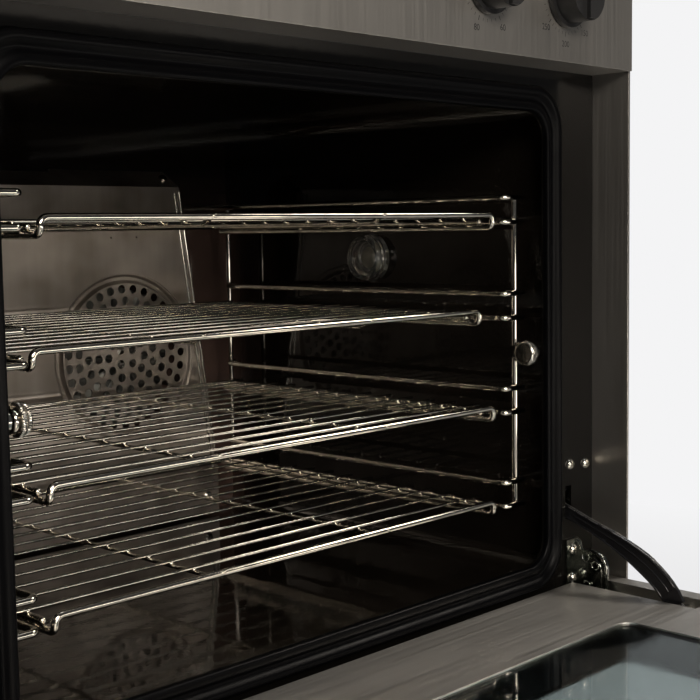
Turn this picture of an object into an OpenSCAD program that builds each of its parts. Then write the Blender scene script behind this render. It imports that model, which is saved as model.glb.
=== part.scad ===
// Counter-top convection oven with two rear fans, four wire shelves and a drop-down door.
// +X is the oven's right as seen from the front, +Y goes into the oven, +Z is up.
// It is drawn with the door hanging open, as it is used for loading.

/* [Case] */
// Width across the side panels
case_w = 600; // [590:5:660]
// Height of the case without its feet
case_h = 545; // [540:5:620]
// Depth of the case behind the front flange
body_depth = 512; // [490:5:600]
// How far the side panels stand in front of the flange
cheek_reach = 33; // [26:1:36]
// Thickness of a hemmed side panel edge
cheek_t = 2; // [1.6:0.2:3]
// Sheet thickness of the outer case
sheet = 1; // [0.8:0.1:1.5]
// Width of the folded edges of the case sheets
fold_w = 14; // [10:1:20]
// Thickness of the front flange plate
flange_t = 1.5; // [1:0.1:2.5]
// Height of a foot
foot_h = 35; // [30:1:45]
// Diameter of a foot
foot_d = 40; // [30:1:50]
// Distance of the feet from the case edges
foot_inset = 50; // [40:1:70]

/* [Cavity] */
// Gap between a case side and a cavity wall
jacket = 54; // [52:1:57]
// Height of the case above the cavity ceiling
head_room = 115; // [108:1:118]
// Depth of the case behind the cavity's rear wall
motor_room = 124; // [118:1:126]
// Height of the cavity floor above the case bottom
cavity_base = 65; // [60:1:75]
// Thickness of the enamelled cavity sheet
liner_t = 1; // [0.8:0.1:1.4]
// Radius of the long cavity edges
liner_r = 12; // [8:1:16]
// Thickness of the insulation round the cavity
wool_t = 20; // [16:1:22]
// How far the cavity walls stand outside the door opening
opening_inset = 14; // [13:1:16]
// How far the opening's lintel hangs below the cavity ceiling
lintel_drop = 9; // [6:1:14]
// Height of the opening's sill above the cavity floor
sill_h = 10; // [6:1:12]
// Corner radius of the opening
opening_r = 20; // [12:1:30]
// Width of the door gasket
gasket_w = 19; // [14:1:20]
// Radius of the gasket's outer corners
gasket_r = 31; // [28:1:36]

/* [Side racks] */
// Distance from a cavity wall to the middle of a rack's posts
rack_inset = 21; // [20:1:24]
// Distance from the rear posts to the rear baffle's plane
rack_rear_gap = 0.5; // [0.5:0.5:20]
// Distance of the front posts behind the flange face
rack_y = 22; // [20:0.5:24]
// Diameter of the rack wire
rack_wire = 4.5; // [4:0.1:5]
// Distance between shelf levels
level_pitch = 73; // [70:0.5:75]
// Height of the lowest support wire above the cavity floor
level_base = 55; // [45:1:60]
// Height of each guard wire above its support wire
guard_gap = 18.5; // [17:0.5:24]
// How far the support wires stand inside the posts
runner_inset = 18; // [16:0.5:20]
// Height of the thumb nut above the lowest support wire
nut_up = 119; // [112:1:122]
// Distance of the thumb nut behind the flange face
nut_y = 7.5; // [6.5:0.5:8]
// Diameter of the thumb nut
nut_d = 19; // [16:0.5:20]
// Length of the thumb nut
nut_l = 6.3; // [5.5:0.1:9]
// Diameter of the stud
stud_d = 6; // [5:0.5:6]

/* [Shelves] */
// Distance from the ends of the cross wires to the rack posts
shelf_side_gap = 12; // [10:0.5:14]
// Distance from a shelf's rear bar to the rear baffle
shelf_rear_gap = 17; // [16:1:32]
// Distance of the front bar behind the flange face
shelf_y = 20; // [17:0.5:22]
// How much further the second shelf is pushed in
shelf_2_in = 13; // [8:1:13]
// Diameter of the shelf frame bars
bar_d = 4.6; // [4:0.1:5]
// Diameter of the cross wires
wire_d = 2.4; // [2:0.1:3]
// Pitch of the cross wires
wire_pitch = 23.5; // [18:0.5:30]
// Distance from the front bar to the first cross wire
first_wire = 28; // [24:1:30]
// Distance between the two middle bars of a shelf
mid_bars = 150; // [120:5:200]
// Distance from a support wire to the shelf's side bars
side_bar_inset = 12; // [10:0.5:17]

/* [Fans] */
// Distance between the two fan axes
fan_gap = 208; // [204:1:220]
// Height of the fan axes above the cavity floor
fan_up = 160; // [150:1:170]
// Diameter of an impeller
fan_d = 124; // [110:1:130]
// Diameter of a motor shaft
shaft_d = 7; // [6:0.5:9]
// Number of impeller blades
blades = 12; // [8:1:16]
// Diameter of the round seat of a fan guard
guard_d = 149; // [146:1:152]
// Diameter of a hole in a fan guard
hole_d = 7.6; // [5:0.2:8]
// Distance between the holes of one ring
hole_pitch = 12.4; // [11:0.2:14]
// Distance between the rings of holes
ring_pitch = 10.4; // [9.6:0.2:12]
// Distance from the rear baffle's face to the cavity's rear wall
plenum = 26; // [25:0.5:28]
// Diameter of a heating element's tube
element_d = 6.5; // [6:0.5:8]
// Diameter of a heating element's ring
element_ring = 164; // [160:1:166]

/* [Lamp] */
// Diameter of the lamp glass
lamp_d = 41; // [36:1:46]
// Distance of the lamp behind the flange face
lamp_y = 193; // [120:1:260]
// Height of the lamp above the cavity floor
lamp_up = 245.5; // [230:0.5:262]

/* [Door] */
// Gap between the shut door and the control panel
door_top_gap = 3; // [2:0.5:9]
// Thickness of the door
door_t = 36; // [34:1:37]
// Gap between the shut door and the flange
door_gap = 6; // [5.5:0.1:6.5]
// Distance of the hinge axis in front of the flange face
hinge_out = 23; // [23:0.5:24]
// Height of the hinge axis above the case bottom
hinge_up = 38; // [36:0.5:40]
// How far the door reaches below the hinge axis when it is shut
door_below = 14; // [10:0.5:14]
// Width of the door beside its window
window_side = 95; // [85:5:125]
// Mean height of the door above and below its window
window_edge = 78; // [73:1:100]
// Diameter of the handle bar
handle_d = 20; // [16:1:22]
// Distance from the door to the middle of the handle bar
handle_out = 36; // [32:1:36]
// Length of the handle bar
handle_l = 440; // [360:5:500]

/* [Hinges and stays] */
// Distance from the case side to the middle of a stay
stay_inset = 35; // [34:0.5:37]
// Thickness of a stay
stay_t = 3; // [2:0.2:3.4]
// Thickness of a hinge bracket
bracket_t = 3; // [2:0.2:3.2]
// Diameter of a hinge pin
pin_d = 8; // [6:0.5:9]
// Diameter of a stay's pivot pin
stay_pin_d = 6; // [5:0.5:6]
// Height of the stay's slot above the hinge axis
slot_up = 71; // [70:0.5:73]
// Depth of the stay's pivot below the open door's face
pivot_in = 9; // [9:0.5:12]

/* [Controls] */
// Height of the control panel
panel_h = 92; // [86:1:96]
// How far the control panel stands in front of the flange
panel_reach = 36; // [34:0.5:40]
// Diameter of a control knob
knob_d = 44; // [36:1:50]
// Length of a control knob
knob_l = 20; // [14:1:24]
// Distance between the axes of the two knobs
knob_step = 90; // [80:5:110]
// Distance from the case side to the thermostat knob's axis
thermostat_inset = 90; // [80:5:100]
// Distance from the oven's middle to the pilot lamps
pilot_x = 40; // [20:5:60]

/* [Hidden] */
$fn = 48;

// Clearances
touch = 0.3;
running = 0.05;

// Outer case
hw = case_w / 2;
in_w = hw - cheek_t;
case_z = foot_h;
top_z = foot_h + case_h;
rear_y = body_depth;

// Cavity
floor_z = case_z + cavity_base;
ceil_z = top_z - head_room;
wall_x = hw - jacket;
back_y = rear_y - motor_room;
sill_z = floor_z + sill_h;
lintel_z = ceil_z - lintel_drop;
opening_w = 2 * (wall_x - opening_inset);
wool_x = wall_x + liner_t + touch;
wool_out = wool_x + wool_t;
wool_back = back_y + liner_t + touch + wool_t;
skin_y = back_y + liner_t;

// Racks
baffle_y = back_y - plenum;
post_x = wall_x - rack_inset;
runner_x = post_x - runner_inset;
rear_post_y = baffle_y - rack_rear_gap;
support_z = floor_z + level_base;
nut_z = support_z + nut_up;
nut_x = post_x - rack_wire / 2 - 0.1 - nut_l;
collar_x = post_x + rack_wire / 2 + 0.2;
collar_d = 12;
nut_face = 14.5;
nut_neck = 16.5;
nut_rim = 3;
bend_r = 5;
runner_splay = 20;
post_end = 0.6;
peg_z = support_z + level_pitch / 2 + guard_gap / 2;
peg_reach = 5;
peg_clear = 0.5;

// Shelves
shelf_w = 2 * (post_x - shelf_side_gap);
side_bars = 2 * (runner_x - side_bar_inset);
shelf_d = baffle_y - shelf_rear_gap - shelf_y;
cross_z = rack_wire / 2 + touch + wire_d / 2;
rail_z = cross_z - wire_d / 2 - bar_d / 2 + 0.15;
front_z = rail_z + 5;
hook_r = 4.7;
hook_z = front_z - 2 * hook_r;
rail_from = 13;
weld = 0.2;
mid_d = 3;
mid_z = cross_z - wire_d / 2 - mid_d / 2 + 0.15;
mid_slope = 10;
wire_count = floor((shelf_d - first_wire - bar_d) / wire_pitch) + 1;

// Fans
fan_x = fan_gap / 2;
fan_z = floor_z + fan_up;
baffle_t = 1;
guard_r = guard_d / 2;
guard_face_r = guard_r - 7.5;
guard_edge_r = guard_r + 5;
outer_ring_r = guard_face_r - 6.2;
ring_count = floor(outer_ring_r / ring_pitch);
element_y = back_y - 13;
element_gap = 16;
motor_y = wool_back + 0.2;
motor_plate = 120;
motor_plate_t = 2;
motor_post = 46;
motor_post_d = 8;
stack_w = 78;
stack_t = 34;
bearing_d = 30;
bearing_l = 8;
shaft_from = baffle_y + 4;
shaft_to = motor_y + motor_plate_t + bearing_l + stack_t + bearing_l - 2;
hub_d = 20;

// Rear baffle: its outline narrows towards the top
baffle_drop = 54;
baffle_top = ceil_z - baffle_drop;
baffle_shoulder = floor_z + 46;
baffle_low = floor_z + 2;
baffle_side_top = 64;
baffle_side_low = 102;
baffle_half_top = fan_x + baffle_side_top;
baffle_half_low = fan_x + baffle_side_low;
baffle_hole_in = 14;
baffle_hole_up = 18;
baffle_fold = 7;
baffle_notch_x = 45;
baffle_notch = 4;
baffle_rise = 15;
strip_run = norm([plenum - 2.2, baffle_rise]);
strip_tilt = atan2(baffle_rise, plenum - 2.2);
strip_screw_x = baffle_half_top - 9;
strip_screw_y = strip_run * 0.52;
spacer_d = 8;
peep_x = 91.7;
peep_step = 27.2;
peep_down = 44.7;
peep_d = 2;

// Lamp
lamp_z = floor_z + lamp_up;
lamp_x = wall_x;
lamp_reach = 12.5;
lamp_rim = 1.5;
lamp_wall = 3;
lamp_ring = 5;
lamp_depth = 34;

// Hinge axis, and the door in its shut place
hinge_y = -hinge_out;
hinge_z = case_z + hinge_up;
stay_x = hw - stay_inset;
panel_low = top_z - panel_h;
door_in = -door_gap;
door_out = door_in - door_t;
door_low = hinge_z - door_below;
door_high = panel_low - door_top_gap;
door_h = door_high - door_low;
door_half = in_w - 3;
door_sheet = 1.2;
door_lip = 11;
hinge_slot_in = stay_x - 7;
hinge_slot_out = stay_x + 16;
bracket_x = stay_x + 9.5;
bracket_lug = 12.5;
bracket_reach = 30;
bracket_corner = 13;
bracket_up = 40.5;
leg_from = stay_x - 5.5;
leg_t = 2.5;
leg_up = [4, 49];
leg_screw_x = stay_x + 2.5;
hinge_slot_top = hinge_z + 94;
window_w = 2 * (door_half - window_side);
window_h = door_h - 2 * window_edge;
window_lift = 7;
window_low = door_low + window_edge + window_lift;
glass_lap = 12;
outer_glass_t = 5;
inner_glass_t = 4;
handle_y = door_out - handle_out;
handle_z = door_high - 40;
post_d = 14;
handle_post_in = 25;
post_span = handle_l - 2 * handle_post_in;

// Stay: slot point and pivot lie on one circle about the hinge axis, so that the stay
// turns half as far as the door
slot_y = 0;
slot_z = hinge_z + slot_up;
stay_r = norm([slot_y - hinge_y, slot_up]);
pivot_z = hinge_z + hinge_out - door_gap - pivot_in;
pivot_y = hinge_y - sqrt(stay_r * stay_r - (pivot_z - hinge_z) * (pivot_z - hinge_z));
stay_run = norm([slot_y - pivot_y, slot_z - pivot_z]);
stay_dir = [slot_y - pivot_y, slot_z - pivot_z] / stay_run;
stay_up = [-stay_dir.y, stay_dir.x];
stay_bulge = 12.6;
stay_skew = 0.65;
stay_half = 4.6;
stay_grow = 3.6;
stay_wide = [0.35, 0.8];
stay_from = 0.04;
stay_tail = 20;
stay_hook = 15;
stay_hook_w = 9;
stay_steps = 20;
eye_d = 18;
channel_d = 150;
channel_low = slot_z - 38;
channel_high = slot_z + 46;
channel_in = stay_x - 5.5;
channel_out = stay_x + 5.5;
channel_t = 1;
slot_low = slot_z - 5.4;
slot_high = slot_z + 21.2;
slot_half = 4;

// Controls
panel_front = -panel_reach;
panel_t = 1.2;
control_z = top_z - panel_h / 2;
thermostat_x = hw - thermostat_inset;
timer_x = thermostat_x - knob_step;
control_w = 46;
control_d = 38;
spindle_d = 6;
screw_d = 4;
head_d = 9;
head_t = 3;

// Rear and base fittings
rear_screw_x = hw - 8;
rear_screw_z = [case_z + 40, (case_z + top_z) / 2, top_z - 40];
vent_inset = 46;
vent_x = vent_inset - wall_x;
vent_d = 32;
vent_wall = 1.5;
vent_out = 8;
vent_z = ceil_z - 24;
gland_inset = 80;
gland_x = hw - gland_inset;
gland_z = case_z + 45;
gland_d = 20;
terminal_w = 60;
terminal_t = 24;
terminal_h = 22;
terminal_in = 66;
terminal_pitch = 18;
foot_x = hw - foot_inset;
foot_ys = [foot_inset, rear_y - foot_inset];
element_leg_drop = sqrt(element_ring * element_ring / 4 - element_gap * element_gap);
pilot_step = 14;
pilot_d = 10;

// Screws in the flange and the door
control_window = hw - 40;
screw_row = slot_z + 38;
flange_screws = [
    [stay_x + 2, screw_row], [stay_x + 23, screw_row - 2],
    [leg_screw_x, hinge_z + 41], [leg_screw_x, hinge_z + 18]
];
// The stay's pivot as it lies in the shut door
shut_pivot_y = hinge_y + (pivot_z - hinge_z);
shut_pivot_z = hinge_z - (pivot_y - hinge_y);
door_screw_x = door_half - 6;
door_screw_in = 150;
door_screw_top = 20;
door_screw_z = [door_low + door_screw_in, door_high - door_screw_in, door_high - door_screw_top];

// The door hangs open in front, so the origin is moved to the middle of the whole reach
open_front = hinge_y - (door_high - hinge_z);
mid_y = (open_front + rear_y + vent_out) / 2;

// Small shared shapes
module box(x, y, z) {
    translate([x[0], y[0], z[0]]) cube([x[1] - x[0], y[1] - y[0], z[1] - z[0]]);
}

module rod(a, b, d) {
    v = b - a;
    l = norm(v);
    translate(a) rotate([0, acos(v.z / l), atan2(v.y, v.x)]) cylinder(d = d, h = l);
}

module rounded(x, z, r) {
    translate([x[0] + r, z[0]]) square([x[1] - x[0] - 2 * r, z[1] - z[0]]);
    translate([x[0], z[0] + r]) square([x[1] - x[0], z[1] - z[0] - 2 * r]);
    for (cx = [x[0] + r, x[1] - r], cz = [z[0] + r, z[1] - r]) translate([cx, cz]) circle(r);
}

module along_y(y) {
    translate([0, y[1], 0]) rotate([90, 0, 0]) linear_extrude(y[1] - y[0]) children();
}

module along_x(x) {
    translate([x[0], 0, 0]) rotate([90, 0, 90]) linear_extrude(x[1] - x[0]) children();
}

module about_y(x, z) {
    translate([x, 0, z]) rotate([-90, 0, 0]) children();
}

module about_x(y, z) {
    translate([0, y, z]) rotate([0, 90, 0]) children();
}

module pan_head(d, t) {
    cylinder(d = d, h = t * 0.5);
    translate([0, 0, t * 0.5]) cylinder(d1 = d, d2 = d * 0.6, h = t * 0.5);
}

module on_side(s) {
    if (s > 0) children();
    else mirror([1, 0, 0]) children();
}

// A point of the shut door or its hardware goes to where the open door holds it
module opened() {
    translate([0, hinge_y, hinge_z]) rotate([90, 0, 0]) translate([0, -hinge_y, -hinge_z]) children();
}

module placed() {
    translate([0, -mid_y, 0]) children();
}

// Outer case
module side_panel() {
    color("silver") difference() {
        union() {
            box([hw - sheet, hw], [-cheek_reach, rear_y], [case_z, top_z]);
            box([in_w, hw - sheet], [-cheek_reach, 0], [case_z, top_z]);
            box([hw - fold_w, hw - sheet], [flange_t, rear_y - sheet], [case_z, case_z + sheet]);
            box([hw - fold_w, hw - sheet], [rear_y - 2 * sheet, rear_y - sheet],
                [case_z + fold_w, top_z - fold_w - sheet]);
        }
        for (z = rear_screw_z) about_y(rear_screw_x, z) cylinder(d = screw_d, h = rear_y);
        for (row = [0 : 3], col = [0 : 9])
            box([hw - sheet - 1, hw + 1], [rear_y - 100 + col * 8, rear_y - 96 + col * 8],
                [case_z + 90 + row * 60, case_z + 130 + row * 60]);
    }
}

module top_panel() {
    color("silver") {
        box([-hw + sheet, hw - sheet], [0, rear_y], [top_z - sheet, top_z]);
        for (s = [-1, 1]) on_side(s)
            box([hw - 2 * sheet, hw - sheet], [flange_t, rear_y - sheet], [top_z - fold_w, top_z - sheet]);
    }
}

module rear_panel() {
    color("silver") difference() {
        box([-hw + sheet, hw - sheet], [rear_y - sheet, rear_y], [case_z + sheet, top_z - sheet]);
        for (x = [-fan_x, fan_x], k = [0 : 9])
            box([x - 45, x + 45], [rear_y - 3, rear_y + 1], [fan_z - 45 + k * 9, fan_z - 41 + k * 9]);
        about_y(vent_x, vent_z) cylinder(d = vent_d + 2 * touch, h = rear_y + 1);
        about_y(gland_x, gland_z) cylinder(d = gland_d + 2 * touch, h = rear_y + 1);
        for (s = [-1, 1], z = rear_screw_z)
            about_y(s * rear_screw_x, z) cylinder(d = screw_d, h = rear_y + 1);
    }
}

module base_pan() {
    color("dimgray") difference() {
        union() {
            box([-hw + fold_w, hw - fold_w], [flange_t, rear_y - sheet], [case_z, case_z + sheet]);
            for (s = [-1, 1]) on_side(s)
                box([hw - fold_w - sheet, hw - fold_w], [flange_t, rear_y - sheet], [case_z, case_z + 12]);
            box([-hw + fold_w, hw - fold_w], [rear_y - sheet - 13, rear_y - sheet - 12],
                [case_z + sheet, case_z + 12]);
        }
        for (x = [-1, 1], y = foot_ys)
            translate([x * foot_x, y, case_z - 1]) cylinder(d = 8.6, h = sheet + 2);
    }
}

module feet() {
    color("black") for (x = [-1, 1], y = foot_ys) translate([x * foot_x, y, 0]) {
        cylinder(d1 = foot_d - 6, d2 = foot_d, h = 8);
        translate([0, 0, 8]) cylinder(d = foot_d, h = foot_h - 8);
        translate([0, 0, foot_h]) cylinder(d = 8, h = 12);
        translate([0, 0, foot_h + sheet]) cylinder(d = 15, h = 6.5, $fn = 6);
    }
}

module front_flange() {
    color("gray") difference() {
        union() {
            box([-hw + sheet, hw - sheet], [0, flange_t], [case_z + sheet, top_z - sheet]);
            box([-hw + fold_w + 2, hw - fold_w - 2], [flange_t, flange_t + fold_w],
                [case_z + sheet, case_z + sheet + flange_t]);
        }
        along_y([-1, flange_t + 1])
            rounded([-opening_w / 2, opening_w / 2], [sill_z, lintel_z], opening_r);
        box([-control_window, control_window], [-1, flange_t + 1], [panel_low + 12, top_z - 14]);
        for (s = [-1, 1]) on_side(s) {
            box([stay_x - slot_half, stay_x + slot_half], [-1, flange_t + 1], [slot_low, slot_high]);
            for (p = flange_screws)
                about_y(p[0], p[1]) translate([0, 0, -1]) cylinder(d = screw_d + 0.2, h = 4);
        }
    }
}

module control_panel() {
    color("silver") difference() {
        union() {
            box([-in_w + touch, in_w - touch], [panel_front, panel_front + panel_t], [panel_low, top_z]);
            box([-in_w + touch, in_w - touch], [panel_front + panel_t, 0], [panel_low, panel_low + panel_t]);
            box([-in_w + touch, in_w - touch], [panel_front + panel_t, 0], [top_z - panel_t, top_z]);
            for (s = [-1, 1]) on_side(s)
                box([in_w - touch - panel_t, in_w - touch], [panel_front + panel_t, 0],
                    [panel_low + panel_t, top_z - panel_t]);
        }
        for (x = [timer_x, thermostat_x]) about_y(x, control_z)
            translate([0, 0, panel_front - 1]) cylinder(d = spindle_d + 6, h = panel_t + 2);
        for (k = [-1, 1]) about_y(pilot_x, control_z + k * pilot_step)
            translate([0, 0, panel_front - 1]) cylinder(d = pilot_d + 2 * touch, h = panel_t + 2);
    }
}

module pilot_lamps() {
    color("orange") for (k = [-1, 1]) about_y(pilot_x, control_z + k * pilot_step)
        translate([0, 0, panel_front - 3]) {
            cylinder(d1 = pilot_d - 3, d2 = pilot_d + 3, h = 3);
            cylinder(d = pilot_d, h = 22);
            translate([0, 0, 3 + panel_t]) cylinder(d = pilot_d + 5, h = 3, $fn = 6);
        }
}

module control_body(x, d) {
    translate([x, 0, 0]) difference() {
        union() {
            box([-control_w / 2, control_w / 2], [panel_front + panel_t + 2, panel_front + panel_t + 2 + d],
                [control_z - control_w / 2, control_z + control_w / 2]);
            about_y(0, control_z) translate([0, 0, panel_front + panel_t]) cylinder(d = 18, h = 2);
            for (k = [-1, 0, 1]) box([k * 14 - 3, k * 14 + 3],
                [panel_front + panel_t + 2 + d, panel_front + panel_t + 14 + d],
                [control_z - 1, control_z]);
        }
        about_y(0, control_z) translate([0, 0, panel_front - 1])
            cylinder(d = spindle_d + 2 * running, h = 18);
    }
}

module thermostat_body() {
    color("ivory") control_body(thermostat_x, control_d);
}

module timer_body() {
    color("ivory") control_body(timer_x, control_d + 8);
}

module knob() {
    about_y(0, control_z) translate([0, 0, panel_front - 0.8]) {
        translate([0, 0, -knob_l]) cylinder(d = knob_d - 6, h = knob_l - 4);
        translate([0, 0, -4]) cylinder(d = knob_d, h = 4);
        translate([0, 0, -knob_l - 3]) box([-3.5, 3.5], [-knob_d / 2 + 4, knob_d / 2 - 4], [0, knob_l]);
        cylinder(d = spindle_d, h = 14);
    }
}

module thermostat_knob() {
    color("black") translate([thermostat_x, 0, 0]) knob();
}

module timer_knob() {
    color("black") translate([timer_x, 0, 0]) knob();
}

// Cavity
module cavity_liner() {
    color("#1b1716") difference() {
        along_y([flange_t, skin_y])
            rounded([-wall_x - liner_t, wall_x + liner_t], [floor_z - liner_t, ceil_z + liner_t],
                liner_r + liner_t);
        along_y([flange_t - 1, back_y]) rounded([-wall_x, wall_x], [floor_z, ceil_z], liner_r);
        for (s = [-1, 1]) on_side(s) {
            about_x(nut_y, nut_z) cylinder(d = stud_d + 0.4, h = hw);
            about_x(rear_post_y, peg_z) cylinder(d = rack_wire + 2 * peg_clear, h = hw);
            about_x(rear_post_y, peg_z + level_pitch) cylinder(d = rack_wire + 2 * peg_clear, h = hw);
            about_y(fan_x, fan_z) cylinder(d = shaft_d + 9, h = hw + back_y);
            for (e = [-1, 1]) about_y(fan_x + e * element_gap, fan_z - element_leg_drop)
                translate([0, 0, back_y - 2]) cylinder(d = element_d + 2 * touch, h = 6);
        }
        about_x(lamp_y, lamp_z) cylinder(d = lamp_d + 0.6, h = hw);
        about_y(vent_x, vent_z) translate([0, 0, back_y - 2]) cylinder(d = vent_d + 2 * touch, h = 6);
    }
}

module insulation() {
    color("khaki") difference() {
        along_y([flange_t + touch, wool_back])
            rounded([-wool_out, wool_out], [floor_z - liner_t - touch - wool_t, ceil_z + liner_t + touch + wool_t],
                liner_r + wool_t);
        along_y([flange_t - 1, skin_y + touch])
            rounded([-wool_x, wool_x], [floor_z - liner_t - touch, ceil_z + liner_t + touch],
                liner_r + liner_t);
        for (s = [-1, 1]) on_side(s) {
            box([channel_in - channel_t - 1, hw], [flange_t - 1, channel_d + 3],
                [channel_low - 2, channel_high + 2]);
            about_x(nut_y, nut_z) cylinder(d = 16, h = hw);
            for (z = [peg_z, peg_z + level_pitch])
            about_x(rear_post_y, z) cylinder(d = rack_wire + 4, h = wall_x + 9);
            about_y(fan_x, fan_z) cylinder(d = bearing_d + 6, h = hw + back_y);
            for (e = [-1, 1]) about_y(fan_x + e * element_gap, fan_z - element_leg_drop)
                translate([0, 0, back_y]) cylinder(d = 16, h = wool_t + 8);
            for (a = [-1, 1], b = [-1, 1]) about_y(fan_x + a * motor_post, fan_z + b * motor_post)
                translate([0, 0, back_y]) cylinder(d = motor_post_d + 2 * touch, h = wool_t + 8);
        }
        about_x(lamp_y, lamp_z) cylinder(d = lamp_d + 2 * lamp_ring + 1, h = hw);
        about_y(vent_x, vent_z) translate([0, 0, back_y]) cylinder(d = vent_d + 2 * touch, h = wool_t + 8);
    }
}

module ring_between(y, w_in, w_out) {
    along_y(y) difference() {
        rounded([-opening_w / 2 - w_out, opening_w / 2 + w_out], [sill_z - w_out, lintel_z + w_out],
            opening_r + (gasket_r - opening_r) * w_out / gasket_w);
        rounded([-opening_w / 2 - w_in, opening_w / 2 + w_in], [sill_z - w_in, lintel_z + w_in],
            opening_r + (gasket_r - opening_r) * w_in / gasket_w);
    }
}

module door_gasket() {
    color("#151515") {
        ring_between([-2.5, 0], 0, gasket_w);
        ring_between([-4.6, -2.5], 0, gasket_w * 0.3);
        ring_between([-door_gap + touch, -2.5], gasket_w * 0.65, gasket_w);
    }
}

module vent_tube() {
    color("darkgray") about_y(vent_x, vent_z) difference() {
        union() {
            translate([0, 0, back_y]) cylinder(d = vent_d, h = rear_y + vent_out - back_y);
            translate([0, 0, back_y - 1.2]) cylinder(d = vent_d + 8, h = 1.2);
        }
        translate([0, 0, back_y - 3]) cylinder(d = vent_d - 2 * vent_wall, h = rear_y + vent_out + 6 - back_y);
    }
}

// Rear baffle and fans
module baffle_outline() {
    polygon([
        [-baffle_half_low, baffle_low], [baffle_half_low, baffle_low], [baffle_half_low, baffle_shoulder],
        [baffle_half_top, baffle_top], [-baffle_half_top, baffle_top], [-baffle_half_low, baffle_shoulder]
    ]);
}

module on_strip() {
    translate([0, baffle_y + baffle_t * 0.5, baffle_top - baffle_t * 0.6])
        rotate([strip_tilt, 0, 0]) children();
}

module rear_baffle() {
    edge = [baffle_half_top - baffle_half_low, baffle_top - baffle_shoulder];
    lean = atan2(-edge.x, edge.y);
    color("#b5b1a9") {
        difference() {
            along_y([baffle_y, baffle_y + baffle_t]) baffle_outline();
            for (x = [-fan_x, fan_x]) about_y(x, fan_z) cylinder(d = guard_d + 0.4, h = back_y);
            for (s = [-1, 1], k = [0, 1])
                about_y(s * (peep_x + k * peep_step), baffle_top - peep_down) cylinder(d = peep_d, h = back_y);
            for (s = [-1, 1]) about_y(s * (baffle_half_low - baffle_hole_in), baffle_low + baffle_hole_up)
                cylinder(d = screw_d + 0.4, h = back_y);
        }
        // folded top strip that leans back to the rear wall
        difference() {
            on_strip() translate([-baffle_half_top, 0, 0]) cube([2 * baffle_half_top, strip_run, baffle_t]);
            for (s = [-1, 1]) on_strip() translate([s * strip_screw_x, strip_screw_y, -1])
                cylinder(d = screw_d + 0.4, h = baffle_t + 2);
            box([-baffle_notch_x, baffle_notch_x], [back_y - baffle_notch - 2, back_y + 5],
                [baffle_top - 5, baffle_top + 40]);
        }
        // narrow returns down the slanting edges
        for (s = [-1, 1]) on_side(s)
            translate([baffle_half_low, baffle_y + baffle_t * 0.5, baffle_shoulder]) rotate([0, -lean, 0])
                translate([-baffle_t, 0, 0]) cube([baffle_t, baffle_fold, norm(edge) - 2]);
    }
}

module baffle_screws() {
    color("lightgray") for (s = [-1, 1]) {
        about_y(s * (baffle_half_low - baffle_hole_in), baffle_low + baffle_hole_up) {
            translate([0, 0, baffle_y + baffle_t]) cylinder(d = spacer_d, h = plenum - baffle_t);
            translate([0, 0, baffle_y - 0.1]) cylinder(d = screw_d, h = 3);
            translate([0, 0, baffle_y]) rotate([180, 0, 0]) pan_head(head_d, head_t);
        }
        on_strip() translate([s * strip_screw_x, strip_screw_y, 0]) {
            translate([0, 0, -6]) cylinder(d = screw_d, h = 7);
            translate([-6, -6, -2.5]) cube([12, 12, 2.5]);
            translate([0, 0, baffle_t]) pan_head(head_d - 1, head_t);
        }
    }
}

module fan_guard() {
    color("#aaa69e") about_y(fan_x, fan_z) difference() {
        rotate_extrude() polygon([
            [0, baffle_y - 0.4], [guard_face_r - 1, baffle_y - 0.4], [guard_face_r + 1.5, baffle_y + 3.4],
            [guard_r - 3, baffle_y + 3.4], [guard_r - 1, baffle_y + baffle_t], [guard_edge_r, baffle_y + baffle_t],
            [guard_edge_r, baffle_y + 2 * baffle_t], [guard_r - 0.6, baffle_y + 2 * baffle_t],
            [guard_r - 2.6, baffle_y + 4.4], [guard_face_r + 1.1, baffle_y + 4.4],
            [guard_face_r - 1.4, baffle_y + 0.6], [0, baffle_y + 0.6]
        ]);
        for (k = [0 : ring_count]) {
            r = outer_ring_r - k * ring_pitch;
            n = max(1, round(360 * r / hole_pitch * PI / 180));
            for (i = [0 : n - 1]) rotate([0, 0, 360 * (i + k / 2) / n])
                translate([r, 0, baffle_y - 2]) cylinder(d = hole_d, h = 4);
        }
    }
}

module fan_impeller() {
    color("#8d8d8d") about_y(fan_x, fan_z) difference() {
        union() {
            translate([0, 0, back_y - 6]) cylinder(d = fan_d, h = 1.2);
            translate([0, 0, back_y - 18]) cylinder(d = hub_d, h = 13);
            for (i = [0 : blades - 1]) rotate([0, 0, 360 * i / blades])
                translate([0, 0, back_y - 19]) box([hub_d * 0.4, fan_d / 2], [-0.6, 0.6], [0, 14]);
        }
        translate([0, 0, back_y - 20]) cylinder(d = shaft_d + 2 * running, h = 20);
    }
}

module fan_shaft() {
    color("lightgray") about_y(fan_x, fan_z) {
        translate([0, 0, shaft_from]) cylinder(d = shaft_d, h = shaft_to - shaft_from);
        translate([0, 0, back_y - 18 - 3.5]) cylinder(d = 12, h = 3.4, $fn = 6);
    }
}

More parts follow.
